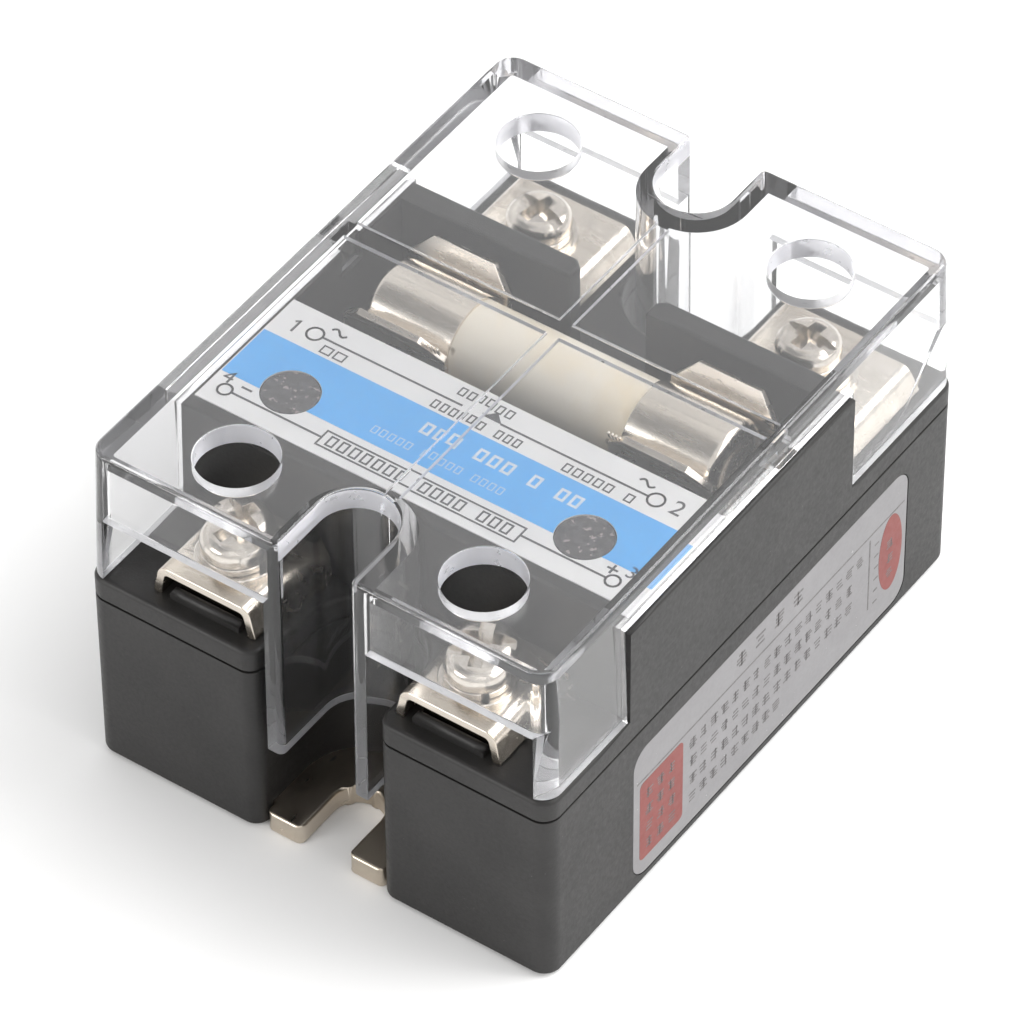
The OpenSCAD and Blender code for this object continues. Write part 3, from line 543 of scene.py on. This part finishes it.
def build_cover():
    """The CAD cover with drafted walls and a rounded top edge.

    Its lower edges, rib sides, hole walls and the notches' cut edges are frosted, and the
    upright walls are clearer than the roof."""
    bm = cad_copy("clear_cover")
    draft = math.tan(math.radians(DRAFT_DEG))
    top = cover_hi.z
    under = top - ROOF_T
    everything = list(bm.verts) + list(bm.edges) + list(bm.faces)
    bmesh.ops.bisect_plane(bm, geom=everything, dist=1e-4, plane_co=(0, 0, under), plane_no=(0, 0, 1))
    wall_x, wall_y = cover_hi.x - 1.75, cover_hi.y - 1.75
    weight = bm.edges.layers.float.new("bevel_weight_edge")
    for e in bm.edges:
        if len(e.link_faces) != 2 or e.calc_face_angle(0.0) < math.radians(SHARP_DEG):
            continue
        a, b = e.verts
        convex = e.calc_face_angle_signed(0.0) > 0
        on_top = abs(a.co.z - top) < 0.01 and abs(b.co.z - top) < 0.01
        rim = any((Vector((a.co.x, a.co.y)) - c.xy).length < 4.2 for c in screw_centres)
        if rim and on_top:
            e[weight] = 0.28
        elif on_top:
            e[weight] = 1.0
        elif convex:
            e[weight] = 0.22
    for f in bm.faces:
        mid = f.calc_center_median()
        facing_down = f.normal.z < -0.9 and mid.z < under - 2.0
        on_rib = abs(f.normal.z) < 0.1 and under - RIB_H < mid.z < under and abs(mid.x) < wall_x - 0.1
        in_plate = abs(f.normal.z) < 0.1 and mid.z > under
        in_hole = in_plate and any((mid.xy - c.xy).length < HOLE_REACH for c in screw_centres)
        in_notch = in_plate and abs(mid.x) < NOTCH_REACH and 16.0 < abs(mid.y) < cover_hi.y - 0.3
        rib_side = on_rib and len(f.verts) == 4 and f.calc_area() < 25
        frosted = facing_down or in_hole or in_notch or rib_side
        roof = abs(f.normal.z) > 0.9 and mid.z > under - 0.1
        f.material_index = 1 if frosted else (0 if roof else 2)
    for v in bm.verts:
        drop = min(top - v.co.z, top - COVER_REST_Z)
        if abs(v.co.x) > wall_x:
            v.co.x += math.copysign(draft * drop, v.co.x)
        if abs(v.co.y) > wall_y:
            v.co.y += math.copysign(draft * drop, v.co.y)
    o = piece("cover", bm, CLEAR, "cover", ["clear_cover"], bevel=0.45, segments=4, by_weight=True)
    o.data.materials.append(FROST)
    o.data.materials.append(CLEAR_WALL)
    return o


build_cover()

# ---------------------------------------------------------------- fuse caps and clips

fuse_lo, fuse_hi = box_mm("fuse_cap_right")
fuse_c = (fuse_lo + fuse_hi) / 2
fuse_r = (fuse_hi.z - fuse_lo.z) / 2


def build_cap(side):
    """Drawn cup with a rounded shoulder, a shallow recess in its end face and a hollow end."""
    x0, x1 = fuse_lo.x, fuse_hi.x
    t = 0.3
    r = fuse_r
    outer = [(r - 0.02, x0), (r, x0 + 0.08), (r, x1 - 0.7)]
    outer += [(r - 0.7 + 0.7 * math.cos(a), x1 - 0.7 + 0.7 * math.sin(a))
              for a in [math.radians(15 * i) for i in range(1, 7)]]
    outer += [(r * 0.55, x1), (r * 0.5, x1 - 0.06), (r * 0.25, x1 - 0.09), (0, x1 - 0.09)]
    inner = [(0, x1 - t), (r - t - 0.02, x1 - t), (r - t, x1 - t - 0.05), (r - t, x0)]
    profile = inner + outer
    bm = bmesh.new()
    lathe(bm, profile, 96, (0, fuse_c.y, fuse_c.z), "X")
    if side < 0:
        bmesh.ops.scale(bm, vec=(-1, 1, 1), verts=bm.verts)
    name = "left" if side < 0 else "right"
    return piece("cap_" + name, bm, NICKEL_CAP, "fuse", ["fuse_cap_" + name], sharp_deg=40)


for side in (-1, 1):
    build_cap(side)


def build_clip(side):
    """Spring clip: foot, cradle, straight legs and flared lips with cut corners."""
    name = "left" if side < 0 else "right"
    lo, hi = box_mm("fuse_clip_" + name)
    t = 0.6
    r = fuse_r + 0.05 + t
    top = hi.z - fuse_c.z
    leg = 2.0
    right_side = arc(0, 0, r, -90, 0, 14) + [(r, leg - 0.35)]
    bend = round_corners([(r, leg - 0.5), (r, leg), (r + 0.95, top)], [0.4], 4)
    path_right = [Vector(p) for p in right_side] + bend[1:]
    path = [Vector((-p.x, p.y)) for p in reversed(path_right)][:-1] + path_right
    path = [p for i, p in enumerate(path) if i == 0 or (p - path[i - 1]).length > 1e-4]
    path.reverse()
    outline = sheet_outline(path, t)
    count = len(path)
    half = (hi.x - lo.x) / 2
    cx = (lo.x + hi.x) / 2
    bm = bmesh.new()

    def half_at(v):
        return half - 2.0 * min(1.0, max(0.0, v - leg - 0.1) / (top - leg - 0.1))

    ends = []
    for s in (-1, 1):
        ends.append([bm.verts.new((cx + s * half_at(v), fuse_c.y + u, fuse_c.z + v)) for u, v in outline])
    n = len(outline)
    for i in range(count - 1):
        j = n - 1 - i
        for k, ring in enumerate(ends):
            quad = [ring[i], ring[i + 1], ring[j - 1], ring[j]]
            bm.faces.new(quad if k else list(reversed(quad)))
        bm.faces.new([ends[0][i], ends[0][i + 1], ends[1][i + 1], ends[1][i]])
        bm.faces.new([ends[0][j], ends[0][j - 1], ends[1][j - 1], ends[1][j]])
    bm.faces.new([ends[0][0], ends[1][0], ends[1][n - 1], ends[0][n - 1]])
    bm.faces.new([ends[0][count - 1], ends[1][count - 1], ends[1][count], ends[0][count]])
    foot = bmesh.new()
    z0 = lo.z - fuse_c.z
    prism(foot, [(-2.2, z0), (2.2, z0), (1.75, z0 + 0.62), (-1.75, z0 + 0.62)],
          lambda u, v, w: Vector((cx + (2 * w - 1) * half, fuse_c.y + u, fuse_c.z + v)))
    bm = combined(bm, foot, "UNION")
    hole = bmesh.new()
    rivet_hole = [(0, lo.z - 1), (0.95, lo.z - 1), (0.95, lo.z + 2), (0, lo.z + 2)]
    lathe(hole, rivet_hole, 32, (side * 13.0, fuse_c.y, 0))
    bm = combined(bm, hole, "DIFFERENCE")
    tooth = [(-r - 0.50, leg + 0.95), (-r - 0.30, leg + 0.95), (-r - 0.62, top), (-r - 0.88, top - 0.05)]
    for k in range(17 if side > 0 else 7):
        x = cx + side * (-half + 0.35 + 0.36 * k)
        prism(bm, tooth, lambda u, v, w: Vector((x + 0.2 * w, fuse_c.y + u + 0.16, fuse_c.z + v - 0.02)))
    return piece("clip_" + name, bm, NICKEL_CLIP, "relay", ["fuse_clip_" + name],
                 bevel=0.10, segments=2, sharp_deg=40)


for side in (-1, 1):
    build_clip(side)

# ---------------------------------------------------------------- terminals


def build_clamp(n):
    """Pressed clamp: a flat top with rounded bends and slightly splayed legs."""
    lo, hi = box_mm("clamp_plate_%d" % n)
    t = 0.8
    c = screw_centres[n - 1]
    foot = (hi.x - lo.x) / 2
    flat = foot - (1.1 if n < 3 else 0.6)
    z_low, z_top = lo.z, hi.z
    corner = [(-foot, z_low), (-flat, z_top), (flat, z_top), (foot, z_low)]
    path = round_corners(corner, [1.2, 1.2], 7)
    outline = sheet_outline(path, t)
    count = len(path)
    bm = bmesh.new()
    ends = []
    y0, y1 = lo.y, hi.y
    for y in (y0, y1):
        ends.append([bm.verts.new((c.x + u, y, v)) for u, v in outline])
    m = len(outline)
    for i in range(count - 1):
        j = m - 1 - i
        for k, ring in enumerate(ends):
            quad = [ring[i], ring[i + 1], ring[j - 1], ring[j]]
            bm.faces.new(quad if k else list(reversed(quad)))
        bm.faces.new([ends[0][i], ends[0][i + 1], ends[1][i + 1], ends[1][i]])
        bm.faces.new([ends[0][j], ends[0][j - 1], ends[1][j - 1], ends[1][j]])
    bm.faces.new([ends[0][0], ends[1][0], ends[1][m - 1], ends[0][m - 1]])
    bm.faces.new([ends[0][count - 1], ends[1][count - 1], ends[1][count], ends[0][count]])
    hole = bmesh.new()
    lathe(hole, [(0, z_low - 2), (1.75, z_low - 2), (1.75, z_top + 2), (0, z_top + 2)], 48, (c.x, c.y, 0))
    bm = combined(bm, hole, "DIFFERENCE")
    return piece("clamp_%d" % n, bm, NICKEL, "clamp_%d" % n, ["clamp_plate_%d" % n],
                 bevel=0.12, segments=3, sharp_deg=40)


def build_washers(n):
    """Flat washer under a split spring washer."""
    lo, hi = box_mm("clamp_washers_%d" % n)
    c = screw_centres[n - 1]
    bm = bmesh.new()
    z0, z1 = lo.z, lo.z + 0.5
    flat = [(1.62, z0), (3.28, z0), (3.3, z0 + 0.1), (3.3, z1 - 0.12), (3.2, z1 - 0.02),
            (1.75, z1 - 0.02), (1.62, z1 - 0.1)]
    closed_lathe(bm, flat, 72, (c.x, c.y, 0))
    z2, z3 = z1, hi.z
    steps = 56
    gap = math.radians(14)
    start = math.radians(205 + 37 * n)
    section = [(1.65, z2 + 0.01), (2.75, z2 + 0.01), (2.8, z2 + 0.08), (2.8, z3 - 0.1),
               (2.72, z3 - 0.02), (1.65, z3 - 0.02)]
    rings = []
    for i in range(steps + 1):
        a = start + gap / 2 + (2 * math.pi - gap) * i / steps
        rings.append([bm.verts.new((c.x + r * math.cos(a), c.y + r * math.sin(a), z)) for r, z in section])
    for a, b in zip(rings, rings[1:]):
        for i in range(len(section)):
            j = (i + 1) % len(section)
            bm.faces.new([a[i], a[j], b[j], b[i]])
    bm.faces.new(list(reversed(rings[0])))
    bm.faces.new(rings[-1])
    return piece("washers_%d" % n, bm, NICKEL_SCREW, "clamp_%d" % n, ["clamp_washers_%d" % n])


def build_screw(n):
    """Pan-head screw with a combined slot and cross recess and a threaded shank."""
    lo, hi = box_mm("terminal_screw_%d" % n)
    c = screw_centres[n - 1]
    head_r = (hi.x - lo.x) / 2
    z0, z1 = hi.z - 2.0, hi.z
    dome = [(head_r - 0.12, z0), (head_r, z0 + 0.12), (head_r, z0 + 0.75)]
    for i in range(1, 9):
        a = math.radians(90 * i / 8)
        dome.append((head_r - 1.15 + 1.15 * math.cos(a), z0 + 0.75 + (z1 - 0.12 - z0 - 0.75) * math.sin(a)))
    dome += [(0.8, z1 - 0.02), (0, z1)]
    shank = [(0, lo.z), (1.05, lo.z), (1.25, lo.z + 0.25)]
    z = lo.z + 0.3
    while z < z0 - 0.85:
        shank += [(1.24, z), (1.48, z + 0.2), (1.48, z + 0.3)]
        z += 0.5
    shank += [(1.24, z), (1.24, z0)]
    bm = bmesh.new()
    lathe(bm, shank + dome, 72, (c.x, c.y, 0))
    turn = math.radians((-14, -6, 24, -20)[n - 1])
    cos_t, sin_t = math.cos(turn), math.sin(turn)

    def wedge(arm, half_width, depth, taper):
        """A plus-shaped recess that narrows downwards."""
        rings = []
        for z, k in ((z1 - depth, taper), (z1 + 0.3, 1.0)):
            a, h = arm * k, half_width * (0.6 + 0.4 * k)
            plus = [(a, -h), (a, h), (h, h), (h, a), (-h, a), (-h, h),
                    (-a, h), (-a, -h), (-h, -h), (-h, -a), (h, -a), (h, -h)]
            rings.append([(c.x + x * cos_t - y * sin_t, c.y + x * sin_t + y * cos_t, z) for x, y in plus])
        out = bmesh.new()
        low, high = [[out.verts.new(p) for p in ring] for ring in rings]
        out.faces.new(list(reversed(low)))
        out.faces.new(high)
        for i in range(12):
            j = (i + 1) % 12
            out.faces.new([low[i], low[j], high[j], high[i]])
        return out

    def slot():
        out = bmesh.new()
        outline = [(-head_r - 0.5, -0.5), (head_r + 0.5, -0.5), (head_r + 0.5, 0.5), (-head_r - 0.5, 0.5)]
        prism(out, outline, lambda u, v, w: Vector((c.x + u * cos_t - v * sin_t, c.y + u * sin_t + v * cos_t,
                                                    z1 - 0.55 + 1.1 * w)))
        return out

    bm = combined(bm, slot(), "DIFFERENCE")
    bm = combined(bm, wedge(1.95, 0.62, 1.4, 0.4), "DIFFERENCE")
    return piece("screw_%d" % n, bm, NICKEL_SCREW, "screw_%d" % n, ["terminal_screw_%d" % n],
                 bevel=0.05, segments=2, sharp_deg=40)


for n in (1, 2, 3, 4):
    build_clamp(n)
    build_washers(n)
    build_screw(n)

# ---------------------------------------------------------------- printing on the labels


class Print:
    """Flat printed marks, gathered into one thin mesh."""

    def __init__(self, place):
        self.bm = bmesh.new()
        self.place = place

    def poly(self, points):
        prism(self.bm, points, self.place)

    def bar(self, u0, v0, u1, v1, width):
        d = Vector((u1 - u0, v1 - v0))
        side = Vector((-d.y, d.x)).normalized() * width / 2
        a, b = Vector((u0, v0)), Vector((u1, v1))
        self.poly([tuple(a - side), tuple(b - side), tuple(b + side), tuple(a + side)])

    def rect(self, u0, v0, u1, v1, r=0.0):
        if not r:
            return self.poly([(u0, v0), (u1, v0), (u1, v1), (u0, v1)])
        pts = arc(u1 - r, v1 - r, r, 0, 90, 8) + arc(u0 + r, v1 - r, r, 90, 180, 8)
        pts += arc(u0 + r, v0 + r, r, 180, 270, 8) + arc(u1 - r, v0 + r, r, 270, 360, 8)
        return self.poly(pts)

    def frame(self, u0, v0, u1, v1, w):
        self.rect(u0, v0, u1, v0 + w)
        self.rect(u0, v1 - w, u1, v1)
        self.rect(u0, v0 + w, u0 + w, v1 - w)
        self.rect(u1 - w, v0 + w, u1, v1 - w)

    def ellipse(self, u, v, ru, rv, n=48):
        self.poly([(u + ru * math.cos(2 * math.pi * i / n), v + rv * math.sin(2 * math.pi * i / n))
                   for i in range(n)])

    def ribbon(self, centre_line, width, closed=False):
        pts = [Vector(p) for p in centre_line]
        n = len(pts)
        sides = []
        for i, p in enumerate(pts):
            a = pts[i - 1] if (i or closed) else p
            b = pts[(i + 1) % n] if (i + 1 < n or closed) else p
            d = (b - a).normalized()
            s = Vector((-d.y, d.x)) * width / 2
            sides.append((p - s, p + s))
        pairs = list(zip(sides, sides[1:] + sides[:1]))
        if not closed:
            pairs = pairs[:-1]
        for (a0, a1), (b0, b1) in pairs:
            self.poly([tuple(a0), tuple(b0), tuple(b1), tuple(a1)])

    def ring(self, u, v, r, width):
        self.ribbon([(u + r * math.cos(2 * math.pi * i / 32), v + r * math.sin(2 * math.pi * i / 32))
                     for i in range(32)], width, True)

    def tilde(self, u, v, w, h, width):
        wave = [(u + w * (i / 16 - 0.5), v + h / 2 * math.sin(2 * math.pi * i / 16)) for i in range(17)]
        self.ribbon(wave, width)

    def digit(self, text, u, v, size):
        curve = bpy.data.curves.new("digit", "FONT")
        curve.body = text
        curve.size = size
        curve.align_x = "CENTER"
        curve.align_y = "CENTER"
        curve.extrude = 0.5
        curve.resolution_u = 4
        o = bpy.data.objects.new("digit", curve)
        scene.collection.objects.link(o)
        bpy.context.view_layer.update()
        e = o.evaluated_get(bpy.context.evaluated_depsgraph_get())
        mesh = bpy.data.meshes.new_from_object(e)
        bpy.data.objects.remove(o)
        start = len(self.bm.verts)
        self.bm.from_mesh(mesh)
        self.bm.verts.ensure_lookup_table()
        for vert in self.bm.verts[start:]:
            vert.co = self.place(u + vert.co.x, v + vert.co.y, 1 if vert.co.z > 0 else 0)

    def blanks(self, u0, u1, v, height, stroke=0.15, words=(5, 4, 3)):
        """A line of empty boxes in place of letters, in groups like words."""
        pitch = height * 0.92
        count = max(1, int((u1 - u0) / pitch))
        pitch = (u1 - u0) / count
        w = pitch - height * 0.28
        left = words[0]
        turn = 0
        for k in range(count):
            if left == 0:
                turn += 1
                left = words[turn % len(words)]
                continue
            left -= 1
            u = u0 + pitch * k
            self.frame(u, v - height / 2, u + w, v + height / 2, stroke)

    def marks(self, u0, u1, v, size, pitch, rng):
        """A row of small blocks of strokes, as placeholder marks."""
        u = u0
        while u + size < u1:
            rows = rng.choice((3, 4))
            for k in range(rows):
                vv = v - size / 2 + size * (k + 0.5) / rows
                a = u + size * rng.uniform(0.0, 0.25)
                b = u + size * rng.uniform(0.7, 1.0)
                self.rect(a, vv - size * 0.065, b, vv + size * 0.065)
            if rng.random() < 0.7:
                x = u + size * rng.uniform(0.3, 0.7)
                self.rect(x - size * 0.06, v - size / 2, x + size * 0.06, v + size / 2)
            u += pitch

    def done(self, name, mat):
        bmesh.ops.remove_doubles(self.bm, verts=self.bm.verts, dist=1e-6)
        return piece(name, self.bm, mat, "relay")


top_hi = box_mm("top_label")[1]
side_hi = box_mm("side_label")[1]


def on_top(layer):
    z = top_hi.z + 0.012 * layer
    return lambda u, v, w: Vector((u, v, z - 0.006 + 0.018 * w))


def on_side(layer):
    x = side_hi.x + 0.006 * layer
    return lambda u, v, w: Vector((x - 0.006 + 0.012 * w, u, v))


rng = random.Random(7)
lens_lo, lens_hi = box_mm("indicator_lens")
lens_y = (lens_lo.y + lens_hi.y) / 2
lens_x = abs(lens_lo.x + lens_hi.x) / 2

blue = Print(on_top(1))
band_v0, band_v1 = -13.45, -7.7
edge = 20.3
LENS_HOLE_R = 2.52
pts = [(-edge, band_v0)]
for cx in (-lens_x, lens_x):
    dv = band_v0 - lens_y
    r = LENS_HOLE_R
    du = math.sqrt(r * r - dv * dv)
    a0 = math.degrees(math.atan2(dv, -du)) % 360
    a1 = math.degrees(math.atan2(dv, du)) % 360
    pts += arc(cx, lens_y, r, a0, a1 - 360, 28)
pts += [(edge, band_v0), (edge, band_v1), (-edge, band_v1)]
blue.poly(pts)
blue.done("print_band", BLUE)

black = Print(on_top(1))
W = 0.2
row = -5.85
black.ribbon([(-18.75, row + 0.28), (-18.4, row + 0.62), (-18.4, row - 0.85)], 0.22)
black.ring(-16.6, row, 0.72, W)
black.bar(-15.88, row, -2.1, row, W)
black.bar(1.6, row, 15.75, row, W)
black.poly([(-0.2, row), (1.65, row), (0.72, row + 0.95)])
black.ring(16.5, row, 0.72, W)
black.digit("2", 18.45, row + 0.1, 2.3)
black.tilde(-15.0, row + 1.15, 1.5, 0.55, W)
black.tilde(14.9, row + 1.15, 1.5, 0.55, W)
black.blanks(-15.2, -12.6, row - 1.05, 0.95, 0.14, (3,))
black.blanks(-3.3, 3.1, row + 1.3, 0.95, 0.14, (6,))
black.blanks(-4.3, 4.5, row - 1.05, 0.95, 0.14, (6, 3))
black.blanks(8.4, 15.3, row - 1.05, 0.95, 0.14, (5, 2))
row = -15.1
black.digit("4", -19.3, row + 1.3, 2.0)
black.ring(-18.75, row, 0.62, W)
black.bar(-18.13, row, -9.3, row, W)
black.bar(-17.8, row + 1.0, -16.8, row + 1.0, W)
black.frame(-9.3, row - 0.95, 10.05, row + 0.95, 0.17)
black.blanks(-8.6, 9.4, row, 1.2, 0.17, (7, 4, 3))
black.bar(10.05, row, 18.1, row, W)
black.ring(18.72, row, 0.62, W)
black.bar(17.5, row + 1.05, 18.5, row + 1.05, W)
black.bar(18.0, row + 0.55, 18.0, row + 1.55, W)
black.digit("3", 19.5, row + 1.5, 1.8)
black.done("print_wiring", INK)

white = Print(on_top(2))
white.blanks(-3.3, 12.3, -9.6, 1.35, 0.25, (3, 3, 1, 4))
white.done("print_title", WHITE_INK)
pale = Print(on_top(2))
pale.blanks(-6.5, 6.4, -12.0, 0.85, 0.11, (5, 5, 5))
pale.done("print_subtitle", PALE_INK)

red = Print(on_side(1))
red.rect(-16.6, 2.75, -10.5, 11.75, 0.55)
red.ellipse(20.0, 7.7, 1.75, 4.25)
red.done("print_red_blocks", RED)
dark = Print(on_side(1))
dark.rect(-17.0, 12.05, 21.9, 12.2)
dark.rect(16.72, 3.5, 16.88, 11.6)
dark.marks(-2.9, 7.4, 14.0, 1.55, 2.75, rng)
dark.marks(-9.6, 16.0, 10.3, 1.15, 1.52, rng)
dark.marks(-9.6, 15.6, 8.2, 1.15, 1.52, rng)
dark.marks(-9.6, 15.2, 6.1, 1.15, 1.52, rng)
dark.marks(-9.6, 4.2, 4.0, 1.15, 1.52, rng)
for k in range(6):
    dark.rect(17.55, 3.6 + 1.35 * k, 18.15, 3.75 + 1.35 * k)
dark.done("print_rows", INK_SIDE)
over_red = Print(on_side(2))
for k in range(4):
    over_red.marks(-15.8, -11.2, 4.2 + 1.95 * k, 1.1, 1.6, rng)
for k in range(3):
    over_red.marks(19.4, 21.0, 5.4 + 1.7 * k, 1.0, 1.6, rng)
over_red.done("print_on_red", INK_SIDE)

# ---------------------------------------------------------------- camera, floor and light

floor_mesh = bpy.data.meshes.new("floor")
bm = bmesh.new()
bmesh.ops.create_grid(bm, x_segments=1, y_segments=1, size=3.0)
bm.to_mesh(floor_mesh)
bm.free()
floor = bpy.data.objects.new("floor", floor_mesh)
floor.location.z = -0.00005
scene.collection.objects.link(floor)
floor_mat = bpy.data.materials.new("floor")
floor_mat.use_nodes = True
floor_shader = floor_mat.node_tree.nodes["Principled BSDF"]
floor_shader.inputs["Base Color"].default_value = (0.93, 0.93, 0.93, 1)
floor_shader.inputs["Roughness"].default_value = 0.9
floor_shader.inputs["Specular IOR Level"].default_value = 0.1
floor_mesh.materials.append(floor_mat)

camera = bpy.data.objects.new("camera", bpy.data.cameras.new("camera"))
scene.collection.objects.link(camera)
camera.data.sensor_width = 36.0
camera.data.lens = 254.6
camera.data.clip_start = 0.05
camera.data.clip_end = 20.0
eye = Vector((239.86, -339.72, 432.87)) * MM
aim = Vector((-0.44, -1.53, 17.0)) * MM
camera.location = eye
camera.rotation_mode = "QUATERNION"
roll = Matrix.Rotation(math.radians(-0.495), 4, "Z").to_quaternion()
camera.rotation_quaternion = (aim - eye).to_track_quat("-Z", "Y") @ roll
scene.camera = camera

world = bpy.data.worlds.new("world")
world.use_nodes = True
wt = world.node_tree
direction = wt.nodes.new("ShaderNodeTexCoord")
toward = wt.nodes.new("ShaderNodeVectorMath")
toward.operation = "DOT_PRODUCT"
toward.inputs[1].default_value = Vector((-0.41, -0.33, 0.865)).normalized()
wt.links.new(direction.outputs["Generated"], toward.inputs[0])
flag = wt.nodes.new("ShaderNodeMapRange")
flag.interpolation_type = "SMOOTHSTEP"
for key, v in (("From Min", 0.86), ("From Max", 0.975), ("To Min", 0.92), ("To Max", 0.25)):
    flag.inputs[key].default_value = v
wt.links.new(toward.outputs["Value"], flag.inputs["Value"])
wt.links.new(flag.outputs["Result"], wt.nodes["Background"].inputs["Strength"])
wt.nodes["Background"].inputs["Color"].default_value = (1.0, 1.0, 1.0, 1)
scene.world = world


def softbox(name, place, target, size, power, tint=(1, 1, 1)):
    light = bpy.data.lights.new(name, "AREA")
    light.shape = "RECTANGLE"
    light.size, light.size_y = size
    light.energy = power
    light.color = tint
    o = bpy.data.objects.new(name, light)
    o.location = Vector(place)
    o.rotation_mode = "QUATERNION"
    o.rotation_quaternion = (Vector(target) - Vector(place)).to_track_quat("-Z", "Y")
    scene.collection.objects.link(o)
    return o


softbox("key", (0.50, 0.08, 0.36), (0, 0, 0.02), (0.40, 0.40), 1.15, (1.0, 0.99, 0.97))
softbox("overhead", (0.38, 0.42, 0.62), (0, 0, 0.02), (0.60, 0.60), 5.7)
softbox("front", (-0.30, -0.62, 0.30), (0, 0, 0.02), (0.40, 0.24), 2.1, (1.0, 0.985, 0.96))

scene.view_settings.view_transform = "Standard"
scene.view_settings.look = "None"
